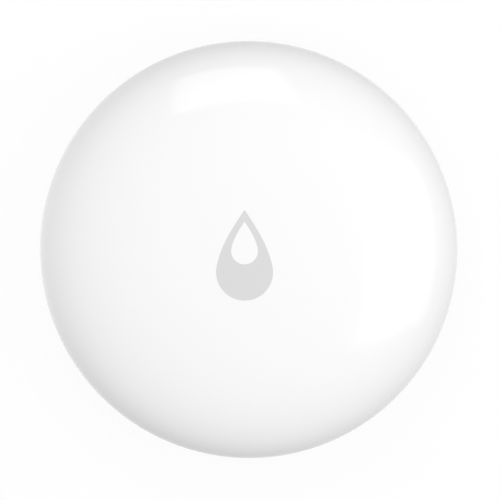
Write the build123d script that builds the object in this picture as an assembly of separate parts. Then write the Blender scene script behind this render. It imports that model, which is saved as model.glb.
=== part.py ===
from build123d import *

import math
import os

# Round battery-powered water leak sensor, in millimetres.
# It stands on four feet at z = 0 with its domed crown up; the two probes lie on the X axis.
# The body grows outwards and upwards from the coin cell, to 50 mm across and 15 mm high.

# Overrun of cuts, depth of joins, clearance of pieces that touch, and a full turn in degrees
overrun = 1.0
embed = 0.4
close_gap = 0.02
full_turn = 360.0

# Coin cell, 20 mm across and 3.2 mm thick
battery_diameter = 20.0
battery_thickness = 3.2
battery_gap = 0.05
battery_edge = 0.3
cap_inset = 1.3
cap_rise = 0.2
cap_edge = 0.15
cap_depth = 0.7
grommet_gap = 0.25

# Battery holder and contacts
holder_side_gap = 0.2
holder_wall = 1.8
holder_gap = 0.32
holder_chamfer = 0.6
holder_window_width = 5.0
peg_radius = 0.6
peg_angles = (60.0, 240.0)
peg_gap = 0.08
contact_strip = 0.2
contact_room = 1.2
negative_plate_radius = 4.2
negative_finger_width = 2.2
negative_finger_reach = 5.2
negative_finger_start = 1.6
negative_finger_lift = 0.35
positive_width = 4.0
positive_foot_length = 3.2
positive_tip_share = 0.5
positive_bow = 0.7

# Battery opening, its ramped ledges and the turning cover
opening_room = 2.1
seat_plate = 1.3
bay_wall = 1.3
ledge_count = 3
ledge_reach = 1.3
ledge_arc = 36.0
ledge_first_angle = 90.0
cover_lead = 10.0
stop_arc = 4.5
stop_play = 0.6
cover_land = 1.4
cover_flange = 1.35
cover_side_gap = 0.2
cover_seat_gap = 0.1
cover_edge_chamfer = 0.3
cover_seal_width = 0.9
cover_seal_groove = 0.65
plug_gap = 0.2
plug_wall = 1.2
lug_arc = 12.0
lug_height = 1.1
lug_gap = 0.08
lug_side_gap = 0.2
coin_slot_length = 14.0
coin_slot_width = 2.2
coin_slot_depth = 1.5
coin_slot_floor = 0.8
coin_boss_end = 1.5
coin_boss_side = 1.4
coin_boss_gap = 0.55
pad_radius = 1.2
pad_inset = 1.6
pad_count = 4
pad_first_angle = 45.0

# Probes
probe_angles = (0.0, 180.0)
probe_screw_radius = 1.25
probe_head_radius = 2.2
probe_head_height = 1.0
probe_head_gap = 0.15
probe_head_wall = 0.95
probe_dome = 0.55
probe_floor_gap = 0.1
probe_recess_length = 2.4
probe_recess_depth = 0.55
probe_tip = 0.3
probe_tip_gap = 1.0
probe_seal_inset = 0.25
probe_seal_height = 0.72
probe_column_wall = 1.1
probe_column_gap = 1.8
insert_radius = 2.0
insert_height = 5.0
insert_neck_radius = 1.1
insert_neck_rise = 0.2

# Base shell
floor_wall = 1.6
foot_height = 0.6
foot_radius = 1.6
foot_wall = 1.7
foot_count = 4
foot_first_angle = 45.0
foot_chamfer = 0.2
base_edge_radius = 0.35
base_rib_count = 6
base_rib_first_angle = 30.0
base_rib_thickness = 1.0
base_rib_height = 1.6
boss_radius = 2.1
boss_wall = 0.8
boss_angles = (45.0, 135.0, 270.0)
pilot_radius = 0.68
pilot_spare = 0.2
spigot_gap = 0.15
spigot_wall = 2.0
spigot_drop = 1.6
hook_count = 6
hook_first_angle = 0.0
hook_arc = 22.0
hook_wall = 1.2
hook_tip_gap = 0.3
hook_land = 0.25
hook_rise = 0.12
hook_lead_in = 0.6

# Seals
housing_seal_height = 1.1
housing_seal_depth = 0.9
housing_seal_rise = 0.9
seal_gap = 0.03
seal_corner_share = 0.28

# Circuit board and what stands on it
board_margin = 2.6
board_side_gap = 1.25
board_thickness = 0.8
board_hole_radius = 0.95
board_screw_length = 4.4
board_screw_head_radius = 1.5
board_screw_head_height = 1.0
board_screw_head_edge = 0.35
screw_recess_share = 0.6
recess_width = 0.5
chip_size = 6.0
chip_height = 0.85
chip_place_shares = (-0.42, 0.2)
crystal_length = 3.2
crystal_width = 2.5
crystal_height = 0.7
crystal_place_shares = (-0.42, -0.12)
antenna_trace_width = 0.6
antenna_pitch = 1.3
antenna_reach = 3.6
antenna_bends = 7
antenna_thickness = 0.12
antenna_low_share = 0.74
led_size = 1.6
led_height = 0.7
led_gap = 0.8
passive_length = 1.6
passive_width = 0.8
passive_height = 0.6
capacitor_place_shares = (
    (-0.20, 0.22),
    (-0.20, 0.12),
    (-0.20, -0.16),
    (-0.42, 0.42),
    (-0.66, 0.06),
    (0.40, -0.26),
    (0.40, -0.36),
)
resistor_place_shares = (
    (0.36, 0.16),
    (0.36, 0.26),
    (0.02, -0.30),
    (0.16, -0.30),
    (-0.14, 0.50),
)

# Press switch in the middle of the board
switch_wall = 0.5
switch_body_height = 1.2
switch_plate = 0.2
switch_cavity_gap = 0.4
switch_floor = 0.25
stem_radius = 1.3
stem_flange = 0.4
stem_flange_height = 0.35
stem_gap = 0.1
stem_rise = 0.7
press_travel = 0.25
dome_side_gap = 0.2
dome_rise = 0.33
dome_thickness = 0.08
dome_foot = 0.2

# Light guide that carries a press from the crown to the switch and light from the lamp
guide_margin = 0.3
guide_side_gap = 0.2
guide_top_gap = 0.08
guide_disc = 0.85
guide_post_radius = 1.5
guide_leg_radius = 0.9
guide_leg_gap = 0.4
guide_edge = 0.2
press_gap = 0.03

# Top shell
waist_height = 5.5
crown_power = 2.9
crown_spans = 8
crown_room = 4.7
crown_wall = 1.5
side_wall = 1.8
flank_undercut = 2.6
parting_rise = 0.4
parting_gap = 0.15
snap_step = 0.6
snap_gap = 0.2
flex_room = 0.4
flex_groove_width = 1.8
flex_wall = 0.9
crown_rib_count = 6
crown_rib_thickness = 0.9
crown_rib_depth = 1.0
crown_rib_outer_radius = 16.5
sleeve_wall = 1.0
sleeve_margin = 0.27
claw_count = 3
claw_first_angle = 60.0
claw_width = 1.6
claw_reach = 0.7
claw_height = 0.35
claw_gap = 0.08
hold_rib_angles = (22.5, 157.5, 225.0, 315.0)
hold_rib_thickness = 1.2
hold_rib_height = 2.6
hold_rib_overlap = 1.0
hold_rib_gap = 0.1

# Radii worked out from the cell outwards
battery_radius = battery_diameter / 2
cap_radius = battery_radius - cap_inset
holder_radius = battery_radius + holder_side_gap
holder_outer_radius = holder_radius + holder_wall
opening_radius = holder_outer_radius + opening_room
ledge_radius = opening_radius - ledge_reach
lug_radius = opening_radius - lug_side_gap
plug_radius = ledge_radius - plug_gap
cover_flange_radius = opening_radius + cover_land
cover_seal_radius = (opening_radius + cover_flange_radius) / 2
recess_radius = cover_flange_radius + cover_side_gap
probe_circle_radius = recess_radius + probe_head_wall + probe_head_gap + probe_head_radius
foot_circle_radius = recess_radius + foot_wall + foot_radius
boss_circle_radius = recess_radius + boss_wall + boss_radius
board_radius = boss_circle_radius + board_margin
spigot_radius = board_radius + board_side_gap
skirt_bore_radius = spigot_radius + spigot_gap
inner_radius = skirt_bore_radius + snap_step
body_radius = inner_radius + side_wall
base_flat_radius = body_radius - flank_undercut

# Heights worked out from the floor upwards
floor_height = foot_height + floor_wall
parting_height = floor_height + parting_rise
ledge_height = floor_height + seat_plate
plug_top = ledge_height + lug_gap + lug_height
cover_top = floor_height - cover_seat_gap
cover_low = cover_top - cover_flange
coin_boss_top = cover_low + coin_slot_depth + coin_slot_floor
battery_low = coin_boss_top + coin_boss_gap
battery_top = battery_low + battery_thickness
can_top = battery_top - cap_rise
board_low = battery_top + contact_room
board_top = board_low + board_thickness
spigot_top = board_low - spigot_drop
snap_step_height = spigot_top + snap_gap
inner_crown_height = board_top + crown_room
body_height = inner_crown_height + crown_wall
probe_screw_top = board_low - probe_tip_gap
insert_low = board_low - insert_height
switch_top = board_top + switch_body_height
stem_top = switch_top + switch_plate + stem_rise
dome_top = board_top + switch_floor + dome_rise

# Sizes in the middle of the board, from the stem outwards
stem_flange_radius = stem_radius + stem_flange
switch_cavity_radius = stem_flange_radius + switch_cavity_gap
switch_size = 2 * (switch_cavity_radius + switch_wall)
dome_radius = switch_cavity_radius - dome_side_gap
led_offset = switch_size / 2 + led_gap + led_size / 2
guide_radius = led_offset + guide_leg_radius + guide_margin
sleeve_radius = guide_radius + guide_side_gap
flex_groove_radius = sleeve_radius + sleeve_wall + flex_room + flex_groove_width / 2

# Slope of the cover's ramps at the middle of a ledge
ramp_radius = (ledge_radius + opening_radius) / 2
ramp_angle = math.degrees(math.atan2(cover_lead, 2 * math.pi * ramp_radius))


def crown_height_at(radius, full_radius, top):
    """Height of a crown surface at a distance from the axis."""
    share = 1 - (radius / full_radius) ** crown_power
    return waist_height + (top - waist_height) * share ** (1 / crown_power)


def crown_curve(full_radius, top):
    """Half profile of a crown, from the axis at its top out to the waist."""
    points = [(0, top)]
    for span in range(1, crown_spans):
        turn = math.pi / 2 * span / crown_spans
        radius = full_radius * math.sin(turn) ** (2 / crown_power)
        height = waist_height + (top - waist_height) * math.cos(turn) ** (2 / crown_power)
        points.append((radius, height))
    points.append((full_radius, waist_height))
    return Spline(*points, tangents=[(1, 0), (0, -1)])


def turned(edges):
    """Solid of revolution of a closed half profile, given as radius and height."""
    return revolve(Plane.XZ * make_face(edges), Axis.Z)


def dome(full_radius, top):
    """Solid under a crown surface, with straight sides from the waist down to the parting line."""
    side = Line((full_radius, waist_height), (full_radius, parting_height))
    bottom = Line((full_radius, parting_height), (0, parting_height))
    axis = Line((0, parting_height), (0, top))
    return turned([crown_curve(full_radius, top), side, bottom, axis])


def disc(radius, low, high):
    """Upright cylinder between two heights."""
    return Pos(0, 0, low) * extrude(Circle(radius), high - low)


def ring(outer, inner, low, high):
    """Upright tube between two heights."""
    return Pos(0, 0, low) * extrude(Circle(outer) - Circle(inner), high - low)


def block(length, width, low, high):
    """Upright box, centred on the axis, between two heights."""
    return Pos(0, 0, low) * extrude(Rectangle(length, width), high - low)


def sector(outer, inner, low, high, middle_angle, arc):
    """Part of a ring, centred on an angle."""
    face = Pos((outer + inner) / 2, (low + high) / 2) * Rectangle(outer - inner, high - low)
    return Rot(0, 0, middle_angle - arc / 2) * revolve(Plane.XZ * face, Axis.Z, arc)


def at_angle(shape, radius, angle):
    """Copy of a shape from the axis, moved out to a radius and round to an angle."""
    return Rot(0, 0, angle) * Pos(radius, 0, 0) * shape


def spread(shape, radius, angles):
    """Copies of a shape round a circle, as one compound of separate or touching pieces."""
    copies = at_angle(shape, radius, angles[0])
    for angle in angles[1:]:
        copies += at_angle(shape, radius, angle)
    return copies


def even_angles(count, first):
    """Evenly spaced angles round a full turn."""
    return [first + full_turn * place / count for place in range(count)]


def seal_ring(outer, inner, low, high):
    """Ring whose section has four bevelled corners, as a moulded seal between two faces."""
    section = Rectangle(outer - inner, high - low)
    corner = min(outer - inner, high - low) * seal_corner_share
    section = Pos((outer + inner) / 2, (low + high) / 2) * chamfer(section.vertices(), corner)
    return revolve(Plane.XZ * section, Axis.Z)


def envelope():
    """Outer form of the closed housing, above its feet."""
    flank = TangentArc((body_radius, waist_height), (base_flat_radius, foot_height), tangent=(0, -1))
    bottom = Line((base_flat_radius, foot_height), (0, foot_height))
    axis = Line((0, foot_height), (0, body_height))
    return turned([crown_curve(body_radius, body_height), flank, bottom, axis])


def guide_top():
    """Height of the light guide's flat top, just under the crown."""
    return crown_height_at(guide_radius, inner_radius, inner_crown_height) - guide_top_gap


def guide_disc_low():
    """Height of the underside of the light guide's disc."""
    return guide_top() - guide_disc


def crown_features():
    """Ribs, guide sleeve, claws and hold-down ribs that stand on the inside of the top shell."""
    rib_low = inner_crown_height - crown_rib_depth
    rib_start = flex_groove_radius + flex_groove_width
    rib_length = crown_rib_outer_radius - rib_start
    rib = Pos(rib_start + rib_length / 2, 0) * block(rib_length, crown_rib_thickness, rib_low, body_height)
    features = spread(rib, 0, even_angles(crown_rib_count, 0))
    claw_top = guide_disc_low() - press_travel - claw_gap
    sleeve_low = claw_top - claw_height - sleeve_margin
    features += ring(sleeve_radius + sleeve_wall, sleeve_radius, sleeve_low, body_height)
    claw_length = claw_reach + embed
    claw = Pos(sleeve_radius + embed - claw_length / 2, 0) * block(
        claw_length, claw_width, claw_top - claw_height, claw_top
    )
    features += spread(claw, 0, even_angles(claw_count, claw_first_angle))
    hold_start = board_radius - hold_rib_overlap
    hold_length = body_radius - hold_start
    hold_low = board_top + hold_rib_gap
    hold = Pos(hold_start + hold_length / 2, 0) * block(
        hold_length, hold_rib_thickness, hold_low, hold_low + hold_rib_height
    )
    return features + spread(hold, 0, hold_rib_angles)


def top_shell():
    """Seamless dome of white plastic with a thin ring that lets the crown give under a finger."""
    above = disc(body_radius + overrun, parting_height, body_height + overrun)
    cavity = dome(inner_radius, inner_crown_height) & disc(body_radius, snap_step_height, body_height)
    cavity += disc(skirt_bore_radius, parting_height - overrun, snap_step_height)
    shell = (envelope() & above) - cavity
    groove_middle = crown_height_at(flex_groove_radius, body_radius, body_height)
    half_groove = flex_groove_width / 2
    shell -= ring(
        flex_groove_radius + half_groove,
        flex_groove_radius - half_groove,
        inner_crown_height - overrun,
        groove_middle - flex_wall,
    )
    grown = dome(inner_radius + embed, inner_crown_height + embed)
    return shell + (crown_features() & grown)


def snap_hook():
    """Hook on the spigot's rim that catches over the step inside the top shell."""
    low = spigot_top - embed
    bearing = snap_step_height + hook_rise
    tip = inner_radius - hook_tip_gap
    high = bearing + hook_land + hook_lead_in
    outline = Polyline(
        (spigot_radius - hook_wall, low),
        (spigot_radius, low),
        (spigot_radius, bearing),
        (tip, bearing),
        (tip, bearing + hook_land),
        (tip - hook_lead_in, high),
        (spigot_radius - hook_wall, high),
        close=True,
    )
    hook = revolve(Plane.XZ * make_face(outline), Axis.Z, hook_arc)
    return Rot(0, 0, -hook_arc / 2) * hook


def ramp_cut(height, sign):
    """Block that trims everything above (sign 1) or below (sign -1) the cover's ramp at this height."""
    size = 2 * body_radius
    slab = Pos(0, 0, sign * size / 2) * Box(size, size, size)
    return Pos(0, 0, height) * Rot(ramp_angle, 0, 0) * slab


def ramp_drop(turn):
    """How far the ramp falls over a turn in degrees."""
    return cover_lead * turn / full_turn


def ledge():
    """One ramped ledge with its end stop; the ramp falls clockwise from the stop, seen from above."""
    outer = opening_radius + embed
    middle_height = ledge_height - ramp_drop(ledge_arc / 2)
    ramp = sector(outer, ledge_radius, floor_height, ledge_height, 0, ledge_arc)
    ramp -= ramp_cut(middle_height, 1)
    stop = sector(outer, ledge_radius, floor_height, plug_top, (ledge_arc + stop_arc) / 2, stop_arc)
    return Rot(0, 0, -ledge_arc / 2) * (ramp + stop)


def probe_cuts():
    """Counterbores and hole for one probe screw and its seal, and the pocket of its insert."""
    head_top = probe_floor_gap + probe_head_height
    seal_top = head_top + probe_seal_height + seal_gap
    cuts = disc(probe_head_radius + probe_head_gap, foot_height - overrun, head_top + close_gap)
    cuts += disc(probe_head_radius - probe_seal_inset + seal_gap, foot_height - overrun, seal_top)
    cuts += disc(probe_screw_radius + probe_head_gap, foot_height - overrun, insert_low + overrun)
    return cuts + disc(insert_radius + close_gap, insert_low, board_low)


def board_boss():
    """Post that carries the circuit board and takes one of its screws."""
    post = disc(boss_radius, floor_height - embed, board_low)
    pilot_low = board_top - board_screw_length - pilot_spare
    return post - disc(pilot_radius, pilot_low, board_low + overrun)


def foot():
    """One moulded foot under the base, with a chamfered edge."""
    straight = disc(foot_radius, foot_chamfer, foot_height + embed)
    tip = extrude(Circle(foot_radius - foot_chamfer), foot_chamfer, taper=-45)
    return straight + tip


def base_shell():
    """Underside of the housing: floor, spigot with snap hooks, battery opening, pillars and feet."""
    below = disc(body_radius + overrun, foot_height - overrun, parting_height - parting_gap)
    shell = envelope() & below
    rim = shell.edges().filter_by(GeomType.CIRCLE).group_by(Axis.Z)[0]
    shell = fillet(rim, base_edge_radius)
    spigot_bore = spigot_radius - spigot_wall
    shell -= disc(spigot_bore, floor_height, parting_height)
    shell += ring(spigot_radius, spigot_bore, floor_height - embed, spigot_top)
    shell += spread(snap_hook(), 0, even_angles(hook_count, hook_first_angle))
    bay_radius = opening_radius + bay_wall
    shell += disc(recess_radius + bay_wall, foot_height, ledge_height)
    shell += disc(bay_radius, floor_height, battery_top)
    rib_length = spigot_bore - bay_radius + embed
    rib = Pos(bay_radius + rib_length / 2, 0) * block(
        rib_length, base_rib_thickness, floor_height - embed, floor_height + base_rib_height
    )
    shell += spread(rib, 0, even_angles(base_rib_count, base_rib_first_angle))
    shell += spread(board_boss(), boss_circle_radius, boss_angles)
    column = disc(insert_radius + probe_column_wall, foot_height, board_low - probe_column_gap)
    columns = spread(column, probe_circle_radius, probe_angles)
    shell += columns & disc(spigot_radius, foot_height, board_low)
    seal_low = floor_height + housing_seal_rise
    shell -= ring(
        spigot_radius + overrun,
        spigot_radius - housing_seal_depth,
        seal_low,
        seal_low + housing_seal_height,
    )
    shell -= disc(recess_radius, foot_height - overrun, floor_height)
    shell -= disc(opening_radius, foot_height, board_low)
    shell -= spread(probe_cuts(), probe_circle_radius, probe_angles)
    shell += spread(ledge(), 0, even_angles(ledge_count, ledge_first_angle))
    return shell + spread(foot(), foot_circle_radius, even_angles(foot_count, foot_first_angle))


def housing_seal():
    """Silicone ring between the spigot and the top shell."""
    low = floor_height + housing_seal_rise
    return seal_ring(
        skirt_bore_radius - seal_gap,
        spigot_radius - housing_seal_depth + seal_gap,
        low + seal_gap,
        low + housing_seal_height - seal_gap,
    )


def cover_lug():
    """One lug of the cover, its underside sloped like the ledge that holds it."""
    middle_turn = stop_play + lug_arc / 2
    middle_height = ledge_height - ramp_drop(middle_turn) + lug_gap
    lug = sector(lug_radius, plug_radius - embed, floor_height, plug_top, 0, lug_arc)
    lug -= ramp_cut(middle_height, -1)
    return Rot(0, 0, -middle_turn) * lug


def coin_cut():
    """Cut that a coin's edge fits, as deep in the middle as the slot's depth."""
    half_length = coin_slot_length / 2
    coin_radius = (half_length**2 + coin_slot_depth**2) / (2 * coin_slot_depth)
    coin = Rot(90, 0, 0) * Cylinder(coin_radius, coin_slot_width)
    return Pos(0, 0, cover_low + coin_slot_depth - coin_radius) * coin


def battery_cover():
    """Round cover that a coin turns: flange, seal groove, hollow plug, lugs and battery pads."""
    flange = disc(cover_flange_radius, cover_low, cover_top)
    rim = flange.edges().filter_by(GeomType.CIRCLE).group_by(Axis.Z)[0]
    cover = chamfer(rim, cover_edge_chamfer)
    half_seal = cover_seal_width / 2
    cover -= ring(
        cover_seal_radius + half_seal,
        cover_seal_radius - half_seal,
        cover_top - cover_seal_groove,
        cover_top + overrun,
    )
    cover += ring(plug_radius, plug_radius - plug_wall, cover_top - embed, plug_top)
    boss_length = coin_slot_length + 2 * coin_boss_end
    boss_width = coin_slot_width + 2 * coin_boss_side
    slot_boss = Pos(0, 0, cover_top - embed) * extrude(
        SlotOverall(boss_length, boss_width), coin_boss_top - cover_top + embed
    )
    pad = disc(pad_radius, cover_top - embed, battery_low - battery_gap)
    cover += slot_boss
    cover += spread(pad, battery_radius - pad_inset, even_angles(pad_count, pad_first_angle))
    cover -= coin_cut()
    return cover + spread(cover_lug(), 0, even_angles(ledge_count, ledge_first_angle))


def cover_seal():
    """Silicone ring in the cover's groove, pressed against the rim of the battery opening."""
    half_seal = cover_seal_width / 2
    return seal_ring(
        cover_seal_radius + half_seal - seal_gap,
        cover_seal_radius - half_seal + seal_gap,
        cover_top - cover_seal_groove + seal_gap,
        floor_height - seal_gap,
    )


def battery_can():
    """Steel can of the coin cell, positive side down, with its crimped rim."""
    can = disc(battery_radius, battery_low, can_top)
    can = chamfer(can.edges().filter_by(GeomType.CIRCLE), battery_edge)
    return can - disc(cap_radius + grommet_gap, battery_top - cap_depth, battery_top)


def battery_cap():
    """Negative cap of the coin cell."""
    cap = disc(cap_radius, battery_top - cap_depth, battery_top)
    return chamfer(cap.edges().filter_by(GeomType.CIRCLE).group_by(Axis.Z)[-1], cap_edge)


def battery_grommet():
    """Plastic ring that keeps the cell's cap and can apart."""
    inner = cap_radius + close_gap
    outer = cap_radius + grommet_gap - close_gap
    return ring(outer, inner, battery_top - cap_depth, can_top + cap_rise / 2)


def battery_holder():
    """Plastic ring under the board that centres the coin cell, with a window for the side contact."""
    outer = holder_outer_radius
    low = plug_top + holder_gap
    body = ring(outer, holder_radius, low, board_low)
    inner_rim = body.edges().filter_by(GeomType.CIRCLE).group_by(Axis.Z)[0].sort_by(SortBy.RADIUS)[0]
    body = chamfer(inner_rim, holder_chamfer)
    window = Pos(-outer, 0) * block(outer, holder_window_width, low - overrun, board_low + overrun)
    body -= window
    peg = disc(peg_radius, board_low - embed, board_top)
    return body + spread(peg, (outer + holder_radius) / 2, peg_angles)


def strip(outline_points, width):
    """Bent strip of sheet metal that follows a line in the XZ plane."""
    band = trace(Polyline(*outline_points), contact_strip)
    return Plane.XZ * extrude(band, width / 2, both=True)


def negative_contact():
    """Plate under the board with two sprung fingers on the cell's cap."""
    plate_middle = board_low - contact_strip / 2
    contact = disc(negative_plate_radius, board_low - contact_strip, board_low)
    low = battery_top + contact_strip / 2 + close_gap
    start = negative_finger_start
    tip = start + negative_finger_reach
    finger = strip(
        (
            (start, plate_middle),
            (start + contact_strip, plate_middle),
            (tip - negative_finger_lift, low),
            (tip, low + negative_finger_lift / 2),
        ),
        negative_finger_width,
    )
    slot_width = negative_finger_width + contact_strip
    slot = Pos(start + contact_strip + negative_plate_radius / 2, 0) * block(
        negative_plate_radius, slot_width, board_low - overrun, board_low + overrun
    )
    contact -= spread(slot, 0, even_angles(2, 0))
    return contact + spread(finger, 0, even_angles(2, 0))


def positive_contact():
    """Side contact soldered under the board, bowed against the cell's can."""
    touch = battery_radius + contact_strip / 2 + close_gap
    plate = board_low - contact_strip / 2
    bow_height = battery_low + battery_thickness * positive_tip_share
    return Rot(0, 0, 180) * strip(
        (
            (touch + positive_bow / 2, bow_height - positive_bow),
            (touch, bow_height),
            (touch + positive_bow, plate - positive_bow),
            (touch + positive_bow, plate),
            (touch + positive_bow + positive_foot_length, plate),
        ),
        positive_width,
    )


def circuit_board():
    """Round board with holes for screws, probe inserts and holder pegs."""
    board = disc(board_radius, board_low, board_top)
    screw_hole = disc(board_hole_radius, board_low - overrun, board_top + overrun)
    neck_hole = disc(insert_neck_radius + peg_gap, board_low - overrun, board_top + overrun)
    peg_hole = disc(peg_radius + peg_gap, board_low - overrun, board_top + overrun)
    board -= spread(screw_hole, boss_circle_radius, boss_angles)
    board -= spread(neck_hole, probe_circle_radius, probe_angles)
    return board - spread(peg_hole, holder_radius + holder_wall / 2, peg_angles)


def cross_recess(length, width, low, high):
    """Cross-shaped screwdriver recess."""
    return block(length, width, low, high) + block(width, length, low, high)


def board_screws():
    """Three pan-head screws that hold the board down on its posts."""
    head_top = board_top + board_screw_head_height
    head = disc(board_screw_head_radius, board_top, head_top)
    head = chamfer(head.edges().filter_by(GeomType.CIRCLE).group_by(Axis.Z)[-1], board_screw_head_edge)
    shank_radius = pilot_radius - close_gap
    screw = head + disc(shank_radius, board_top - board_screw_length, board_top + embed)
    depth = board_screw_head_height * screw_recess_share
    length = board_screw_head_radius * 2 * screw_recess_share
    screw -= cross_recess(length, recess_width, head_top - depth, head_top + overrun)
    return spread(screw, boss_circle_radius, boss_angles)


def on_board(length, width, height, place_shares):
    """Small component that stands on the board, at a place given as shares of the board's radius."""
    x, y = place_shares
    return Pos(x * board_radius, y * board_radius, 0) * block(length, width, board_top, board_top + height)


def small_parts(place_shares):
    """Row of equal surface-mounted components."""
    parts = on_board(passive_length, passive_width, passive_height, place_shares[0])
    for place in place_shares[1:]:
        parts += on_board(passive_length, passive_width, passive_height, place)
    return parts


def antenna():
    """Folded copper track along the edge of the board."""
    half_span = antenna_pitch * antenna_bends / 2
    low = board_radius * antenna_low_share
    points = []
    for bend in range(antenna_bends + 1):
        x = bend * antenna_pitch - half_span
        rows = (low, low + antenna_reach)
        first = bend % 2
        points.append((x, rows[first]))
        points.append((x, rows[1 - first]))
    track = trace(Polyline(*points), antenna_trace_width)
    return Pos(0, 0, board_top) * extrude(track, antenna_thickness)


def switch_body():
    """Hollow base of the press switch."""
    body = block(switch_size, switch_size, board_top, switch_top)
    return body - disc(switch_cavity_radius, board_top + switch_floor, switch_top + overrun)


def switch_plate_cover():
    """Pressed metal plate that keeps the stem in the switch."""
    plate = block(switch_size, switch_size, switch_top, switch_top + switch_plate)
    return plate - disc(stem_radius + stem_gap, switch_top - overrun, stem_top)


def switch_dome():
    """Snap disc that gives the click and pushes the stem back."""
    low = board_top + switch_floor
    under_top = dome_top - dome_thickness
    outer = TangentArc((0, dome_top), (dome_radius, low), tangent=(1, 0))
    rim = Line((dome_radius, low), (dome_radius - dome_foot, low))
    inner = TangentArc((0, under_top), (dome_radius - dome_foot, low), tangent=(1, 0))
    axis = Line((0, under_top), (0, dome_top))
    return turned([outer, rim, inner, axis])


def switch_stem():
    """Stem of the press switch, with the flange that the plate keeps in."""
    low = dome_top + close_gap
    return disc(stem_radius, low, stem_top) + disc(stem_flange_radius, low, low + stem_flange_height)


def light_guide():
    """Clear disc under the crown with a post on the switch and a leg over the lamp."""
    guide = disc(guide_radius, guide_disc_low(), guide_top())
    guide = chamfer(guide.edges().filter_by(GeomType.CIRCLE).group_by(Axis.Z)[-1], guide_edge)
    guide += disc(guide_post_radius, stem_top + press_gap, guide_disc_low() + embed)
    leg_low = board_top + led_height + guide_leg_gap
    return guide + Pos(led_offset, 0) * disc(guide_leg_radius, leg_low, guide_disc_low() + embed)


def indicator_led():
    """Small lamp beside the switch."""
    return Pos(led_offset, 0) * block(led_size, led_size, board_top, board_top + led_height)


def probe_screw():
    """Domed stainless screw that touches the water, with a cross recess."""
    head_top = probe_floor_gap + probe_head_height
    crown = TangentArc(
        (0, probe_floor_gap), (probe_head_radius, probe_floor_gap + probe_dome), tangent=(1, 0)
    )
    sides = Polyline(
        (probe_head_radius, probe_floor_gap + probe_dome),
        (probe_head_radius, head_top),
        (probe_screw_radius, head_top),
        (probe_screw_radius, probe_screw_top - probe_tip),
        (probe_screw_radius - probe_tip, probe_screw_top),
        (0, probe_screw_top),
        (0, probe_floor_gap),
    )
    screw = turned([crown, *sides.edges()])
    recess_top = probe_floor_gap + probe_recess_depth
    return screw - cross_recess(probe_recess_length, recess_width, -overrun, recess_top)


def probe_seals():
    """Silicone rings under the heads of the probe screws."""
    low = probe_floor_gap + probe_head_height
    bore = probe_screw_radius + seal_gap
    outer = probe_head_radius - probe_seal_inset
    seal = seal_ring(outer, bore, low + seal_gap, low + probe_seal_height)
    return spread(seal, probe_circle_radius, probe_angles)


def probe_inserts():
    """Brass inserts that join the probe screws to the board."""
    insert = disc(insert_radius, insert_low, board_low)
    insert += disc(insert_neck_radius, board_low - embed, board_top + insert_neck_rise)
    insert -= disc(probe_screw_radius + close_gap, insert_low - overrun, probe_screw_top + probe_tip)
    return spread(insert, probe_circle_radius, probe_angles)


def all_parts():
    """Every piece of the sensor, by its name."""
    return {
        "top_shell": top_shell(),
        "base_shell": base_shell(),
        "housing_seal": housing_seal(),
        "battery_cover": battery_cover(),
        "cover_seal": cover_seal(),
        "battery_can": battery_can(),
        "battery_cap": battery_cap(),
        "battery_grommet": battery_grommet(),
        "battery_holder": battery_holder(),
        "negative_contact": negative_contact(),
        "positive_contact": positive_contact(),
        "circuit_board": circuit_board(),
        "board_screws": board_screws(),
        "radio_chip": on_board(chip_size, chip_size, chip_height, chip_place_shares),
        "crystal": on_board(crystal_length, crystal_width, crystal_height, crystal_place_shares),
        "antenna_track": antenna(),
        "capacitors": small_parts(capacitor_place_shares),
        "resistors": small_parts(resistor_place_shares),
        "indicator_led": indicator_led(),
        "switch_body": switch_body(),
        "switch_plate": switch_plate_cover(),
        "switch_dome": switch_dome(),
        "switch_stem": switch_stem(),
        "light_guide": light_guide(),
        "probe_screw_right": at_angle(probe_screw(), probe_circle_radius, probe_angles[0]),
        "probe_screw_left": at_angle(probe_screw(), probe_circle_radius, probe_angles[1]),
        "probe_seals": probe_seals(),
        "probe_inserts": probe_inserts(),
    }


os.makedirs("parts", exist_ok=True)
for name, shape in all_parts().items():
    export_step(shape, f"parts/{name}.step")
    print(name, len(shape.solids()), "solids")
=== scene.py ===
"""Looks of a round water leak sensor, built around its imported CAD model.

Sizes in the classes are in millimetres and angles in degrees; meshes are made in metres.
"""

import logging
import math
from collections.abc import Iterable, Mapping, Sequence
from dataclasses import asdict, dataclass, replace
from enum import Enum

import bpy
from mathutils import Matrix, Vector


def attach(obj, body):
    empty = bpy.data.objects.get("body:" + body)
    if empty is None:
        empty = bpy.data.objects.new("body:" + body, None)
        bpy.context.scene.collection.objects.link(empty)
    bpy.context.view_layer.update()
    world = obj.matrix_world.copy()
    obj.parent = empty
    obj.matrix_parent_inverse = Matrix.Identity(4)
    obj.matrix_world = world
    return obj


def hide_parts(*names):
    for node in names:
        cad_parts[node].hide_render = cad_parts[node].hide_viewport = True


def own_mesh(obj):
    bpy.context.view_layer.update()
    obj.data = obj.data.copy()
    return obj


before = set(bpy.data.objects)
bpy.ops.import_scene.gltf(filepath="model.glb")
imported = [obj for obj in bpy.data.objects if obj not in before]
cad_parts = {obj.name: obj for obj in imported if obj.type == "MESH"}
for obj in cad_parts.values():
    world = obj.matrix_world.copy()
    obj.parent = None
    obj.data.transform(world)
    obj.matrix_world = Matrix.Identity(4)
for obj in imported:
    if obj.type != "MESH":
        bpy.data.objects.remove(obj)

MM = 0.001
FULL_TURN = 2 * math.pi
MERGE_DISTANCE = 1e-7
TURN = "turn"
WHITE = (1.0, 1.0, 1.0, 1.0)
CROWN_INPUTS = ("Body Radius", "Crown Top", "Waist Height", "Crown Power")
GLOSS_PATCHES = 180.0
COLOUR_PATCHES = 90.0
BOARD_TOP = 8.8
PROBE_CIRCLE = 19.0
PROBE_CENTRES = ((PROBE_CIRCLE, 0.0), (-PROBE_CIRCLE, 0.0))
LOG = logging.getLogger("leak_sensor")

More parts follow.
